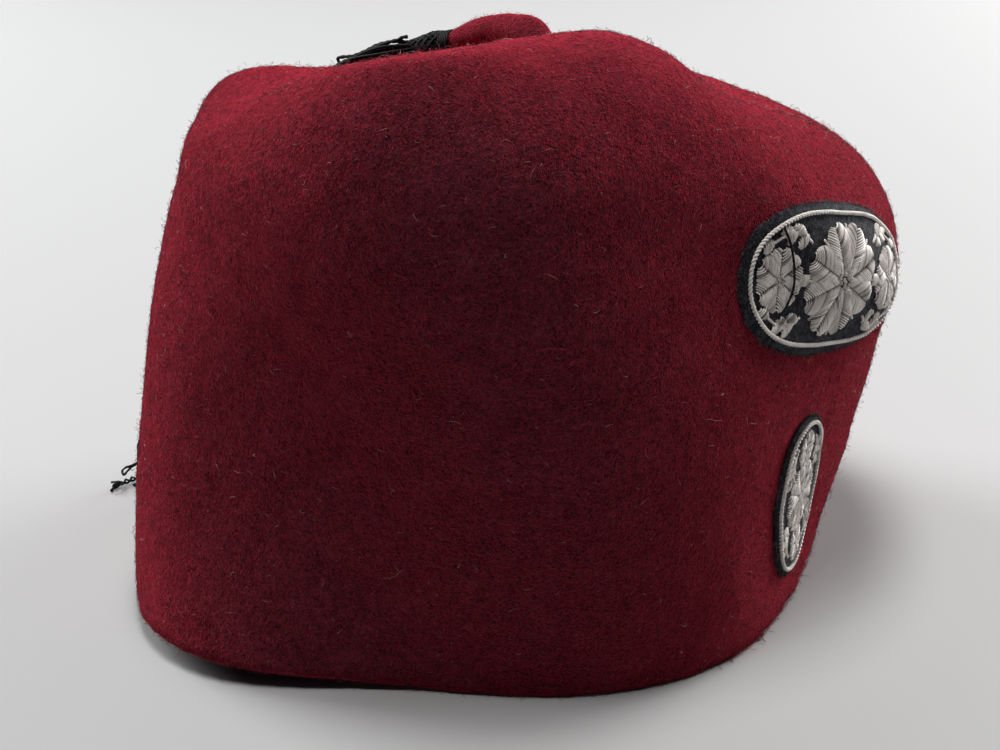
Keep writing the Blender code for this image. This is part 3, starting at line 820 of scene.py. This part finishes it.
def leaf(patch, start, tip):
    """A leaf in slanting satin stitch from its stalk to its tip."""
    length = np.linalg.norm(tip - start)
    way = (tip - start) / length
    along = stitches(length, 4)
    wide = (1.35 * np.sin(math.pi * np.clip(along * 0.9 + 0.06, 0, 1)) ** 0.75)[:, None]
    middle = start + way * (length * along)[:, None]
    reach = quarter(way) * wide + way * (0.45 * wide)
    return satin(patch, middle - reach, middle + reach, 0.28)


def rope(patch, points, radius, pitch, lift=0.14):
    """Two threads twisted round each other and couched down along points of
    the patch."""
    sides = 5
    flat = through(points, pitch / 6.0)
    way = unit(np.gradient(flat, axis=0))
    turn = np.arange(len(flat)) * math.pi / 3.0
    parts = []
    for phase in (0.0, math.pi):
        off = 0.62 * radius * np.cos(turn + phase)
        path = on_patch(patch, flat[:, 0] - way[:, 1] * off, flat[:, 1] + way[:, 0] * off,
                        CLOTH_TOP + lift + 0.62 * radius * np.sin(turn + phase))
        parts.append((tubes(path[None], 0.6 * radius, sides), np.array([0]), (len(path) - 1) * sides))
    return parts


def knots(patch, centre, count, spread, size):
    """A heap of small round knots at a flower's middle."""
    golden_angle, sides = 2.399963, 6
    turns = np.linspace(0, math.tau, 10)
    parts = []
    for i in range(count):
        reach, angle = spread * math.sqrt(i / count), i * golden_angle
        x, y = turned(patch, centre + reach * np.array([math.cos(angle), math.sin(angle)]))
        ring = on_patch(patch, x + size * 0.62 * np.cos(turns), y + size * 0.62 * np.sin(turns),
                        CLOTH_TOP + 0.34 + 0.12 * turns / 6.3)
        parts.append((tubes(ring[None], size * 0.46, sides), np.array([1]), (len(turns) - 1) * sides))
    return parts


# Sprigs in the corners between the rosettes, given for one corner and repeated
# in the other three: a stem's points, then each leaf's two ends.
SPRIGS = {
    "upper_patch": (((12.6, 8.2), (15.8, 10.3), (19.6, 10.3), (24.6, 7.9)),
                    (((13.6, 9.4), (17.0, 7.6)), ((14.9, 10.0), (18.4, 11.9)),
                     ((18.6, 10.4), (22.2, 10.6)), ((17.4, 10.1), (20.6, 8.4)),
                     ((24.2, 8.1), (27.2, 6.4)))),
    "lower_patch": (((5.9, 7.4), (7.2, 9.4), (7.0, 11.6), (5.6, 13.6)),
                    (((6.6, 6.9), (10.2, 5.4)), ((7.2, 9.0), (10.4, 8.4)),
                     ((7.2, 11.0), (9.6, 11.6)))),
}


def rosette(patch, along, size, petals):
    """A flower's stitching, and its knots with short spokes between the petals."""
    centre = np.array([along, 0.0])
    parts, edging = [], []
    for i in range(petals):
        parts += petal(patch, centre, math.tau * (i + 0.5) / petals, 0.17 * size, size,
                       0.86 * size * math.sin(math.pi / petals), 0.26 + 0.014 * size)
    edging += knots(patch, centre, *((12, 0.19 * size, 0.5) if size > 8 else (6, 0.19 * size, 0.4)))
    for i in range(petals):
        angle = math.tau * i / petals
        way = np.array([math.cos(angle), math.sin(angle)])
        ends = np.array([centre + way * 0.52 * size, centre + way * 0.97 * size])
        edging += rope(patch, turned(patch, ends), 0.26, 1.3)
    return parts, edging


def embroidery(patch):
    rosettes = [r for r in rows_of(ROSETTE_COLUMNS, ROSETTES) if r["patch"] == patch["name"]]
    parts, edging = [], []
    for row in rosettes:
        petals, middle = rosette(patch, row["along"], row["radius"], row["petals"])
        parts += petals
        edging += middle
    for left, right in zip(rosettes, rosettes[1:]):
        at = np.arange(left["along"] + left["radius"] - 0.7, right["along"] - right["radius"] + 0.7, STITCH)
        starts, ends = (np.stack([at + hand * 0.25, np.full(len(at), hand * BAR)], -1) for hand in (-1, 1))
        parts.append(satin(patch, turned(patch, starts), turned(patch, ends), 0.2))
    stem, leaves = SPRIGS[patch["name"]]
    for flip in ((1, 1), (1, -1), (-1, 1), (-1, -1)):
        edging += rope(patch, np.multiply(stem, flip), 0.30, 1.5)
        parts += [leaf(patch, *np.multiply(ends, flip)) for ends in leaves]
    edge = np.stack(outline(patch, np.linspace(0, math.tau, 73)), -1)
    size = np.linalg.norm(edge, axis=1)[:, None]
    edging += rope(patch, edge * ((size - patch["inset"]) / size), 0.46, 2.0, 0.2)
    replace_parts(thread_piece(patch["name"] + "_stitching", parts), patch["name"] + "_embroidery")
    thread_piece(patch["name"] + "_edging", edging)


patches = rows_of(PATCH_COLUMNS, PATCHES)
cloths = [backing(p) for p in patches]
for p in patches:
    embroidery(p)


def loose_thread():
    """A black thread that lies curved over the upper patch."""
    at = through([(-22.0, 11.5), (-20.2, 8.0), (-18.6, 3.0), (-17.8, -1.5), (-18.9, -5.5),
                  (-21.0, -8.4)], 0.5)
    lift = 0.62 + 0.75 * np.sin(np.linspace(0.1, 3.0, len(at)))
    path = on_patch(patches[0], at[:, 0], at[:, 1], CLOTH_TOP + lift)
    verts, faces = joined([tubes(path[None], 0.26, sides=7, lobes=0.14, pitch=2.0)])
    object_of("loose_black_thread", verts, faces, [BLACK_THREAD])


def fleck():
    """A fleck of orange fluff caught under the upper patch's edge."""
    n = 26
    x = -2.0 + RNG.normal(0, 0.35, (n, 1))
    y = -18.6 + RNG.normal(0, 0.5, (n, 1))
    f = np.linspace(0, 1, 4)
    angle = RNG.uniform(0, math.tau, (n, 1)) + 1.6 * f
    height = 0.15 + 0.5 * f * RNG.uniform(0.3, 1.0, (n, 1))
    paths = on_patch(patches[0], x + 0.9 * np.cos(angle) * f, y + 0.9 * np.sin(angle) * f, height)
    verts, faces, _ = fibres(paths, RNG.uniform(0.04, 0.08, n))
    object_of("orange_fleck", verts, [faces], [FLECK])


loose_thread()
fleck()

CLOTH_STEPS = np.linspace(0, 1, 3)[None]


def cloth_fibres(patch, kind, roots, way, length, bend, height, radius, grey):
    """Fibres on a cloth from roots along way, (n, 2) each, bowed by bend.  grey
    is the share of the lighter ones."""
    n = len(roots)
    reach, bow = length[:, None] * CLOTH_STEPS, bend[:, None] * np.sin(math.pi * CLOTH_STEPS)
    x = roots[:, :1] + way[:, :1] * reach - way[:, 1:] * bow
    y = roots[:, 1:] + way[:, 1:] * reach + way[:, :1] * bow
    verts, faces, per = fibres(on_patch(patch, x, y, height), RNG.uniform(*radius, n))
    index = np.repeat((RNG.random(n) < grey).astype(int), per)
    object_of(patch["name"] + kind, verts, [faces], PATCH_FIBRES, index)


def fray(patch):
    """Frayed fibres round the cloth's cut edge."""
    n = patch["fray"]
    edge = np.stack(outline(patch, RNG.uniform(0, math.tau, n)), -1)
    out = unit(edge / np.array([patch["half_wide"], patch["half_high"]]) ** 2)
    swing = RNG.normal(0, 0.9, n)
    c, s = np.cos(swing), np.sin(swing)
    way = np.stack([out[:, 0] * c - out[:, 1] * s, out[:, 0] * s + out[:, 1] * c], -1)
    length, bend = RNG.gamma(2.4, 0.34, n).clip(0.4, 2.6), RNG.normal(0, 0.22, n)
    height = 0.62 + RNG.uniform(-0.35, 0.30, (n, 1)) + RNG.normal(0.0, 0.30, (n, 1)) * CLOTH_STEPS
    cloth_fibres(patch, "_fray", edge * 0.982, way, length, bend, np.maximum(height, 0.15),
                 (0.025, 0.055), 0.34)


def cloth_nap(patch):
    """A nap all over the cloth."""
    n = patch["nap"]
    angle, reach = RNG.uniform(0, math.tau, n), np.sqrt(RNG.uniform(0, 1, n))[:, None]
    swing = RNG.uniform(0, math.tau, n)
    length, bend = RNG.uniform(0.5, 1.5, n), RNG.normal(0, 0.3, n)
    height = (CLOTH_TOP - 0.03 - 0.45 * reach ** 12
              + RNG.gamma(1.5, 0.06, (n, 1)) * np.sin(math.pi * (0.15 + 0.8 * CLOTH_STEPS)))
    cloth_fibres(patch, "_nap", np.stack(outline(patch, angle), -1) * reach,
                 np.stack([np.cos(swing), np.sin(swing)], -1), length, bend, height, (0.03, 0.06), 0.45)


for p in patches:
    fray(p)
    cloth_nap(p)


# ---------------------------------------------------------------- felt fuzz

def patch_tree():
    points = [v.co / MM for cloth in cloths for v in cloth.data.vertices]
    tree = kdtree.KDTree(len(points))
    for i, p in enumerate(points):
        tree.insert(p, i)
    tree.balance()
    return tree


COVERED = patch_tree()
BEHIND_PATCHES = -60.0       # no patch reaches further back than this y
PATCH_MARGIN = 1.25
OFF_TABLE = 0.03             # the lowest that a fibre's point may lie


def uncovered(points):
    """Which points of the felt aren't under a patch."""
    keep = np.ones(len(points), bool)
    for i in np.nonzero(points[:, 1] < BEHIND_PATCHES)[0]:
        keep[i] = COVERED.find(Vector(points[i] + SHIFT))[2] > PATCH_MARGIN
    return keep


def spots(point, normal):
    """Places with their normal and the two directions along the felt, round
    the hat and up it."""
    around = unit(np.cross(normal, UP) + 1e-6)
    return point, normal, around, np.cross(around, normal)


def felt_spots(count):
    """Places spread evenly over the felt."""
    a, b = felt.grid[:-1], np.roll(felt.grid, -1, 1)[:-1]
    area = np.linalg.norm(np.cross(b - a, felt.grid[1:] - a), axis=-1).ravel()
    pick = RNG.choice(len(area), count, p=area / area.sum())
    row = pick // COLUMNS + RNG.random(count)
    bearing = (pick % COLUMNS + RNG.random(count)) * 360.0 / COLUMNS
    return spots(felt.look(felt.grid, bearing, row), unit(felt.look(felt.normals, bearing, row)))


def stalk_spots(count):
    points, normals = stalk_grid()
    r = RNG.integers(2, len(points) - 1, count)
    j = RNG.integers(0, STALK_SIDES, count)
    f, g = RNG.random((2, count, 1))
    k = (j + 1) % STALK_SIDES
    point = ((points[r, j] * (1 - f) + points[r, k] * f) * (1 - g)
             + (points[r + 1, j] * (1 - f) + points[r + 1, k] * f) * g)
    return spots(point, unit(normals[r, j] * (1 - f) + normals[r, k] * f))


def drawn(law, count):
    """Lengths from a gamma law (shape, scale), kept between two limits."""
    shape, scale, low, high = law
    return RNG.gamma(shape, scale, count).clip(low, high)[:, None]


def hairs(places, lean, length, bow, points):
    """Paths of hairs that rise off the felt at lean and bow over sideways."""
    point, normal, around, up = places
    n = len(point)
    lean, length = np.radians(RNG.uniform(*lean, n))[:, None], drawn(length, n)
    bow, swing = RNG.normal(0, bow, (n, 1)), RNG.uniform(0, math.tau, (n, 1))
    flat = unit(around * np.cos(swing) + up * (0.75 * np.sin(swing)))
    cross = np.cross(normal, flat)
    f = np.linspace(0, 1, points)
    rise, reach, sideways = np.sin(lean) * f, np.cos(lean) * f, bow * np.sin(math.pi * 0.9 * f)
    return (point[:, None] - 0.05 * normal[:, None]
            + length[..., None] * (normal[:, None] * rise[..., None] + flat[:, None] * reach[..., None]
                                   + cross[:, None] * sideways[..., None]))


def laid(places, dx, dy, rise):
    """Paths that run dx round the hat, dy up it and rise off the felt."""
    point, normal, around, up = (values[:, None] for values in places)
    return point + around * dx[..., None] + up * dy[..., None] + normal * rise[..., None]


def lying(places, length, loft, points):
    """Paths of fibres that lie on the felt in arcs, their middles lifted."""
    n = len(places[0])
    length, loft = drawn(length, n), drawn(loft, n)
    swing, bend = RNG.uniform(0, math.tau, (n, 1)), RNG.normal(0, 0.9, (n, 1))
    f = np.linspace(-0.5, 0.5, points)
    heading, step = swing + bend * f * 2, length / (points - 1)
    dx, dy = np.cumsum(np.cos(heading) * step, 1), np.cumsum(np.sin(heading) * step, 1) * 0.7
    return laid(places, dx - dx.mean(1, keepdims=True), dy - dy.mean(1, keepdims=True),
                -0.04 + loft * np.cos(f * math.pi))


def curled(places, length, lift, points):
    """Paths of fibres that leave the felt, curl over and come near it again."""
    n = len(places[0])
    length, lift = drawn(length, n), drawn(lift, n)
    swing, bend = RNG.uniform(0, math.tau, (n, 1)), RNG.normal(0, 2.0, (n, 1))
    f = np.linspace(0, 1, points)
    heading, step = swing + bend * f, length / (points - 1) * (f > 0)
    rise = -0.05 + lift * np.sin(math.pi * f * RNG.uniform(0.5, 0.95, (n, 1)))
    return laid(places, np.cumsum(np.cos(heading) * step, 1),
                np.cumsum(np.sin(heading) * step, 1) * 0.8, rise)


def fibre_piece(name, paths, radius, shares=FIBRE_SHARES, blunt=False):
    """The paths that clear the patches, as fibres in shares of the tones."""
    radius = RNG.uniform(*radius, len(paths))
    keep = uncovered(paths[:, 0]) & uncovered(paths[:, -1])
    paths, radius = paths[keep], radius[keep]
    paths[..., 2] = np.maximum(paths[..., 2], OFF_TABLE)
    verts, faces, per = fibres(paths, radius, blunt)
    index = np.repeat(RNG.choice(len(FIBRES), len(paths), p=shares), per)
    object_of(name, verts, [faces], FIBRES, index)


def fuzz():
    for i in range(4):
        paths = lying(felt_spots(16000), (5.0, 0.48, 0.8, 5.0), (1.5, 0.11, 0.03, 0.7), 3)
        fibre_piece("felt_fibres_%d" % i, paths, (0.030, 0.060))
    paths = hairs(felt_spots(17000), (10, 75), (3.2, 0.26, 0.25, 2.4), 0.12, 2)
    fibre_piece("felt_nap", paths, (0.020, 0.034), (0.05, 0.14, 0.35, 0.33, 0.11, 0.02), blunt=True)
    paths = curled(felt_spots(8600), (5.0, 0.30, 0.7, 3.4), (2.4, 0.26, 0.15, 1.7), 4)
    fibre_piece("felt_curls", paths, (0.028, 0.052), (0.05, 0.13, 0.29, 0.35, 0.14, 0.04))
    # The stalk's nap leans to the bright tones: more painted highlight on the stalk.
    paths = hairs(stalk_spots(2800), (5, 60), (3.0, 0.24, 0.2, 1.6), 0.15, 3)
    fibre_piece("stalk_nap", paths, (0.022, 0.040), (0.02, 0.06, 0.28, 0.58, 0.05, 0.01))
    # Long hairs that curl off the felt here and there.
    paths = lying(felt_spots(1000), (3.4, 1.05, 1.8, 12.0), (2.0, 0.32, 0.1, 1.8), 7)
    paths += 0.30 * np.stack([ripple(paths + offset, 2.0) for offset in (0, 9, 20)], -1)
    fibre_piece("felt_stray_hairs", paths, (0.032, 0.062), (0.03, 0.08, 0.22, 0.45, 0.12, 0.10))
    # Whitish lint caught in the nap.
    paths = lying(felt_spots(190), (2.5, 0.45, 0.4, 3.2), (2.0, 0.12, 0.0, np.inf), 6)
    keep = uncovered(paths[:, 0])
    verts, faces, _ = fibres(paths[keep], RNG.uniform(0.022, 0.045, len(paths))[keep])
    object_of("felt_lint", verts, [faces], [LINT])


fuzz()


def from_rim(bearing, heights, swing, fall):
    """Starts on the cut edge, the outward directions there, and directions
    that swing off them and fall or rise."""
    n, out = len(bearing), away(bearing)
    point = felt.at(bearing, 0.0) + UP * RNG.uniform(*heights, (n, 1))
    swing = RNG.normal(0, swing, (n, 1))
    way = unit(out * np.cos(swing) + np.cross(out, UP) * np.sin(swing) + UP * RNG.normal(*fall, (n, 1)))
    return point[:, None], out[:, None], way[:, None]


def rim_fluff():
    """Short cut fibres along the cut edge."""
    n = 6200
    point, out, way = from_rim(RNG.uniform(0, 360, n), (0.05, 0.9), 0.9, (-0.25, 0.45))
    length = drawn((2.5, 0.22, 0.15, 1.9), n)[..., None]
    paths = point - out * 0.15 + way * length * np.linspace(0, 1, 3)[:, None]
    fibre_piece("rim_fluff", paths, (0.022, 0.045), (0.04, 0.12, 0.32, 0.42, 0.08, 0.02))


def rim_threads():
    """Longer threads that hang off the edge, and a few tufts of them."""
    single, tuft = 150, 50
    bearing = np.concatenate([RNG.uniform(0, 360, single)] + [
        RNG.normal(middle, width, tuft) for middle, width in ((152.0, 0.9), (20.0, 0.8), (12.0, 0.6))])
    n = len(bearing)
    point, _, way = from_rim(bearing, (0.1, 1.2), 1.0, (0.0, 0.5))
    curl = np.cross(way, RNG.normal(0, 1, (n, 1, 3)))
    shorter = np.where(np.arange(n) < single, 1.0, 0.6)[:, None]
    length = (drawn((3.0, 0.55, 0.5, 3.4), n) * shorter)[..., None]
    f = np.linspace(0, 1, 5)[:, None]
    paths = point + length * (way * f + 0.35 * curl * np.sin(2.6 * f) * f)
    fibre_piece("rim_threads", paths, (0.03, 0.06), (0.03, 0.10, 0.30, 0.45, 0.10, 0.02))


rim_fluff()
rim_threads()


# ---------------------------------------------------------------- tassel

CORD = 0.36           # radius of a cord
HEAD_START = 2        # the first of the head's sections that single cords run through

# Cords that stand up out of the bundle on the crown, as points along the
# stalk's line from its tip, sideways and up: a loop at the bundle's far end,
# slacker cords with gaps between them, and a cut end that springs back.
SLACK = (
    ((11.0, 0.6, 1.5), (14.9, 0.5, 2.3), (18.9, 0.4, 2.7), (23.2, 0.3, 2.5), (27.6, 0.3, 1.6),
     (32.1, 0.2, 1.0), (35.3, 0.1, 1.2), (37.7, 0.0, 1.2), (37.9, 0.0, 0.4), (36.4, 0.1, -0.5),
     (33.2, 0.3, -0.5), (29.4, 0.5, -0.2), (24.0, 0.9, 0.1), (18.0, 0.8, 0.6), (11.0, 0.3, 0.7)),
    ((10.8, -0.6, 1.2), (14.5, -0.4, 1.8), (18.5, -0.2, 1.2), (22.5, 0.0, 1.2), (26.0, 0.2, 1.5),
     (29.5, 0.1, 0.8), (33.5, 0.0, 0.1), (39.0, 0.0, -1.0), (44.0, 0.2, -2.4)),
    ((10.8, 0.2, 0.4), (15.0, 0.3, 0.6), (20.0, 0.5, 1.9), (24.5, 0.6, 2.0), (28.5, 0.5, 0.7),
     (33.0, 0.4, 0.5), (38.5, 0.4, -0.6), (44.0, 0.8, -2.4)),
    ((10.8, 1.0, 0.8), (16.0, 1.2, 1.4), (21.0, 1.4, 0.5), (25.5, 1.2, -0.6), (30.0, 0.9, -0.8),
     (36.0, 0.8, -0.9), (44.0, 1.6, -2.8)),
    ((27.0, 0.9, 0.2), (24.0, 0.8, 1.6), (21.1, 0.7, 2.4), (18.3, 0.7, 2.7), (15.5, 0.8, 2.8),
     (13.6, 0.9, 3.2), (12.0, 1.0, 3.1)),
)

# Cords whose ends show past the back of the hat, low on the wearer's right:
# a strand down the wall, a folded loop, and a twisted pair with a knot.
STRAND = ((-10.4, 85.0, 29.0), (-16.0, 88.5, 22.0), (-19.5, 91.5, 18.0), (-18.6, 94.7, 15.0),
          (-19.6, 95.3, 13.0), (-21.4, 94.0, 11.0), (-18.0, 97.0, 6.0), (-15.0, 97.5, 0.9))
FOLD = ((-9.0, 93.0, 9.0), (-13.0, 98.0, 7.0), (-16.6, 98.4, 6.2), (-18.4, 99.5, 5.6),
        (-19.0, 100.5, 5.2), (-20.6, 100.5, 4.8), (-22.0, 98.9, 4.4), (-20.2, 99.3, 4.6),
        (-18.0, 99.6, 5.0), (-15.7, 99.1, 5.6), (-12.5, 98.5, 6.4), (-9.0, 94.5, 7.5))
TWIST = ((-12.0, 98.5, 1.2), (-21.4, 101.2, 0.9))
KNOT_END = (-25.6, 100.5, 0.9)
SPARE_END = (-20.5, 101.9, 1.2), (-22.3, 103.2, 1.5)

# The head's middle line and radius by the distance from the stalk's tip.
HEAD_AT = (0.0, 0.6, 4.0, 7.0, 10.0, 12.5)
HEAD_RISE = (0.0, 0.2, 0.5, 0.6, 0.8, 0.9)
HEAD_WIDE = (2.3, 2.45, 2.55, 2.1, 1.45, 1.1)


def stations():
    """The tassel bundle's sections (centre, across, rising, half width and
    height), then the stalk's tip and the directions along, across and up it."""
    rings, ahead = stalk_rings()
    centres = [centre for centre, _, _ in rings[:-len(TIP_ANGLES)]]
    line = unit(centres[-1] - centres[-1 - FINGER_RINGS * 4 // 5])
    side = quarter(ahead)
    up = unit(np.cross(side, line))
    up = up if up[2] > 0 else -up
    tip = centres[-1] + line * (TIP_BULGE * STALK["tip_radius"] + GAP)
    made = [(tip + line * row["ahead"] - up * (0.5 * row["height"]), up, row["half_width"], row["height"])
            for row in rows_of(HEAD_COLUMNS, HEAD)]
    for row in rows_of(DROP_COLUMNS, DROP):
        b, t = np.float64(row["bearing"]), np.float64(row["t"])
        slack = max(0.0, t - 2.25) * 6.0
        made.append((felt.at(b, t, GAP + row["lift"] + slack), felt.at(b, t, 1.0) - felt.at(b, t),
                     row["half_width"], row["height"]))
    sections = []
    for i, (centre, normal, half, height) in enumerate(made):
        tangent = unit(made[min(i + 1, len(made) - 1)][0] - made[max(i - 1, 0)][0])
        across = unit(np.cross(tangent, normal))
        sections.append((centre, across, np.cross(across, tangent), half, height))
    return sections, tip, line, side, up


SECTIONS, STALK_TIP, TIP_LINE, TIP_SIDE, TIP_UP = stations()


def cord(points, radius=CORD, spacing=0.5, sides=7):
    path = through(points, spacing)
    path[:, 2] = np.maximum(path[:, 2], radius * 1.02)
    return tubes(path[None], radius, sides, lobes=0.16, pitch=2.4)


def down_bundle(u, v, lock, wander, reach, spread):
    """Points down the bundle and out on the table for a cord at u across and v
    up in it."""
    points = []
    for i, (centre, across, rising, half, height) in enumerate(SECTIONS[HEAD_START:], HEAD_START):
        in_head = i < len(HEAD)
        sway = wander[0] * math.sin(0.9 * i + wander[1]) * (0.2 if in_head else 1.0)
        u_here = np.clip(u + sway, -1.02, 1.02) * (0.55 if in_head else 1.0)
        v_here = np.clip(v + 0.25 * wander[2] * math.sin(1.3 * i + wander[3]), 0.08, 0.98)
        v_here *= np.interp(i - len(HEAD), (1, 2, 7, 10), (1.0, 0.42, 0.42, 1.0))
        if in_head:
            v_here = 0.5 + (v - 0.5) * 0.5
        points.append(centre + across * (u_here * half) + rising * (v_here * height))
    run_out, drift = ENDS[lock]
    outwards = unit(SECTIONS[-1][2] * [1, 1, 0])
    last = points[-1]
    for share in (0.35, 0.66, 1.0):
        place = (last * [1, 1, 0] + outwards * (run_out + reach) * share ** 1.6
                 + quarter(outwards) * (drift + spread) * share ** 1.3)
        place[2] = last[2] + (CORD * 1.1 - last[2]) * eased(min(1.0, share * 1.5))
        points.append(place)
    return points, outwards


def doubled_cords():
    """The bundle: in each lock three cords that run out and turn back."""
    parts = []
    for lock in range(len(ENDS)):
        for k, v in enumerate((0.25, 0.8, 0.5)):
            u = (lock + 0.5 + (k - 1) * 0.3) / len(ENDS) * 2.0 - 1.0
            spread = (k - 1) * 1.8
            wander = RNG.uniform([0.05, 0, 0.2, 0], [0.16, 6.28, 0.8, 6.28])
            reach = RNG.uniform(-2.5, 1.5)
            down, outwards = down_bundle(u, v, lock, wander, reach, spread)
            wander[1] += 0.8
            back, _ = down_bundle(u + 0.09, v - 0.12, lock, wander, reach, spread + 1.2)
            turn = 0.5 * (down[-1] + back[-1]) + outwards * 1.6
            parts.append(cord(down + [turn] + back[::-1], CORD, 0.75, 6))
    return parts


def twisted_pair():
    """Two ends twisted together on the table, and the knot that holds them."""
    start, knot, end = np.array([*TWIST, KNOT_END])
    run = np.linspace(0, 1, 60)[::3, None]
    over = quarter(unit(knot - start))
    parts = []
    for hand in (1, -1):
        angle = math.tau * 2.5 * run
        wave = over * (hand * 0.72 * np.sin(angle)) + UP * (0.25 + hand * 0.42 * np.cos(angle))
        parts.append(cord(start + (knot - start) * run + wave, CORD * 0.84, 0.35))
    turns = np.linspace(0, 1, 40)[:, None]
    angle = math.tau * 3.2 * turns
    coil = (knot + (end - knot) * (0.05 + 0.62 * turns) + quarter(unit(end - knot)) * 0.55 * np.cos(angle)
            + UP * (0.42 + 0.5 * np.sin(angle)))
    parts.append(cord(coil, CORD * 0.92, 0.3))
    parts.append(cord([knot, 0.5 * (knot + end) + UP * 0.3, end - UP * 0.2], CORD * 1.15, 0.3))
    parts.append(cord([knot + over * 0.3 + UP * 0.3, *SPARE_END], CORD * 0.85, 0.3))
    return parts


def head_cord(at, rise, reach, angle, radius, lobes=0.0, pitch=3.0):
    """A cord of the head, at a distance from the stalk's tip and reach off the
    head's middle line."""
    path = (STALK_TIP + TIP_LINE * at[:, None] + TIP_SIDE * (reach * np.cos(angle))[:, None]
            + TIP_UP * (rise + reach * np.sin(angle))[:, None])
    return tubes(path[None], radius, lobes=lobes, pitch=pitch)


def head():
    """Cords that cross over each other round the stalk's tip, a core under
    them, and turns of thread where they meet the felt."""
    parts = []
    f = np.linspace(0, 1, 34)
    at = -0.6 + 13.0 * f
    for hand in (1, -1):
        for k in range(9):
            angle = math.tau * (k + 0.3 * hand) / 9.0 + hand * 3.6 * f
            reach = np.interp(at, HEAD_AT, HEAD_WIDE) + 0.10 * np.sin(9.0 * angle / 2.0 + hand * 0.8)
            parts.append(head_cord(at, np.interp(at, HEAD_AT, HEAD_RISE), reach, angle, 0.27, 0.18, 1.6))
    f = np.linspace(0, 1, 16)
    at = -0.4 + 12.6 * f
    for k in range(18):
        parts.append(head_cord(at, np.interp(at, HEAD_AT, HEAD_RISE),
                               np.interp(at, HEAD_AT, HEAD_WIDE) - 0.30, math.tau * k / 18.0 + 0.6 * f, 0.42))
    f = np.linspace(0, 1, 130)
    parts.append(head_cord(-2.0 + 2.9 * f, 0.0, 2.55, math.tau * 5.2 * f, 0.34, 0.18, 1.4))
    return parts


def tassel():
    parts = doubled_cords()
    for points in SLACK:
        path = [STALK_TIP + TIP_LINE * a + TIP_SIDE * b + TIP_UP * c for a, b, c in points]
        parts.append(cord(path, CORD * 1.22, 0.45))
    parts += [cord(STRAND, CORD * 0.8), cord(FOLD, CORD * 0.85, 0.35)]
    verts, faces = joined(parts + twisted_pair() + head())
    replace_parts(object_of("cord_tassel", verts, faces, [BLACK_CORD]), "tassel")


tassel()


# ---------------------------------------------------------------- stage

def floor():
    material = Nodes("pale_floor").set(base_color=(0.378, 0.379, 0.381), roughness=0.65,
                                       specular_ior_level=0.25)
    half, z = 3.0, -0.05 * MM
    mesh = bpy.data.meshes.new("floor")
    corners = [(-half, -half, z), (half, -half, z), (half, half, z), (-half, half, z)]
    mesh.from_pydata(corners, [], [(0, 1, 2, 3)])
    mesh.materials.append(material)
    linked("floor", mesh)


AIM = np.array([-31.6, -22.3, 57.6])          # what the camera looks at
EYE = np.array([-404.5, -231.6, 213.2])
LENS, SENSOR = 72.0, 36.0


def aimed(made, place, target):
    made.location = Vector(place)
    made.rotation_euler = (Vector(target) - Vector(place)).to_track_quat("-Z", "Y").to_euler()


def camera():
    data = bpy.data.cameras.new("camera")
    data.lens, data.sensor_width, data.clip_start = LENS, SENSOR, 0.01
    made = linked("camera", data)
    aimed(made, (EYE + SHIFT) * MM, (AIM + SHIFT) * MM)
    bpy.context.scene.camera = made


# Where each soft light hangs, seen from the camera: metres to the right, away
# and up, with its width, power and colour.
LIGHT_COLUMNS = ("name", "right", "away", "up", "wide", "power", "colour")
LIGHTS = (
    ("over", 0.00, 0.14, 1.80, 0.50, 16.2, (1.0, 0.99, 0.98)),
    ("over_near", -0.05, -0.34, 1.80, 0.60, 14.5, (1.0, 0.99, 0.98)),
    ("left", -1.20, 0.85, 0.65, 0.90, 34.5, (0.98, 0.99, 1.0)),
    ("right", 1.15, 0.90, 0.55, 0.90, 19.5, (1.0, 0.99, 0.98)),
    ("right_low", 1.05, 1.10, 0.26, 0.90, 20.5, (1.0, 0.99, 0.98)),
)
RIGHT = np.array([0.489, -0.872, 0.0])
DEPTH = np.array([0.872, 0.489, 0.0])


def lights():
    for row in rows_of(LIGHT_COLUMNS, LIGHTS):
        data = bpy.data.lights.new(row["name"], "AREA")
        data.shape, data.size, data.energy, data.color = "DISK", row["wide"], row["power"], row["colour"]
        place = RIGHT * row["right"] + DEPTH * row["away"] + UP * row["up"]
        aimed(linked(row["name"], data), place, (0, 0, 0.05))
    world = bpy.data.worlds.new("studio")
    bpy.context.scene.world = world
    world.use_nodes = True
    shade = world.node_tree.nodes["Background"]
    shade.inputs["Color"].default_value = (0.93, 0.96, 1.0, 1.0)
    shade.inputs["Strength"].default_value = 0.03


floor()
lights()
camera()
bpy.context.scene.view_settings.view_transform = "Standard"
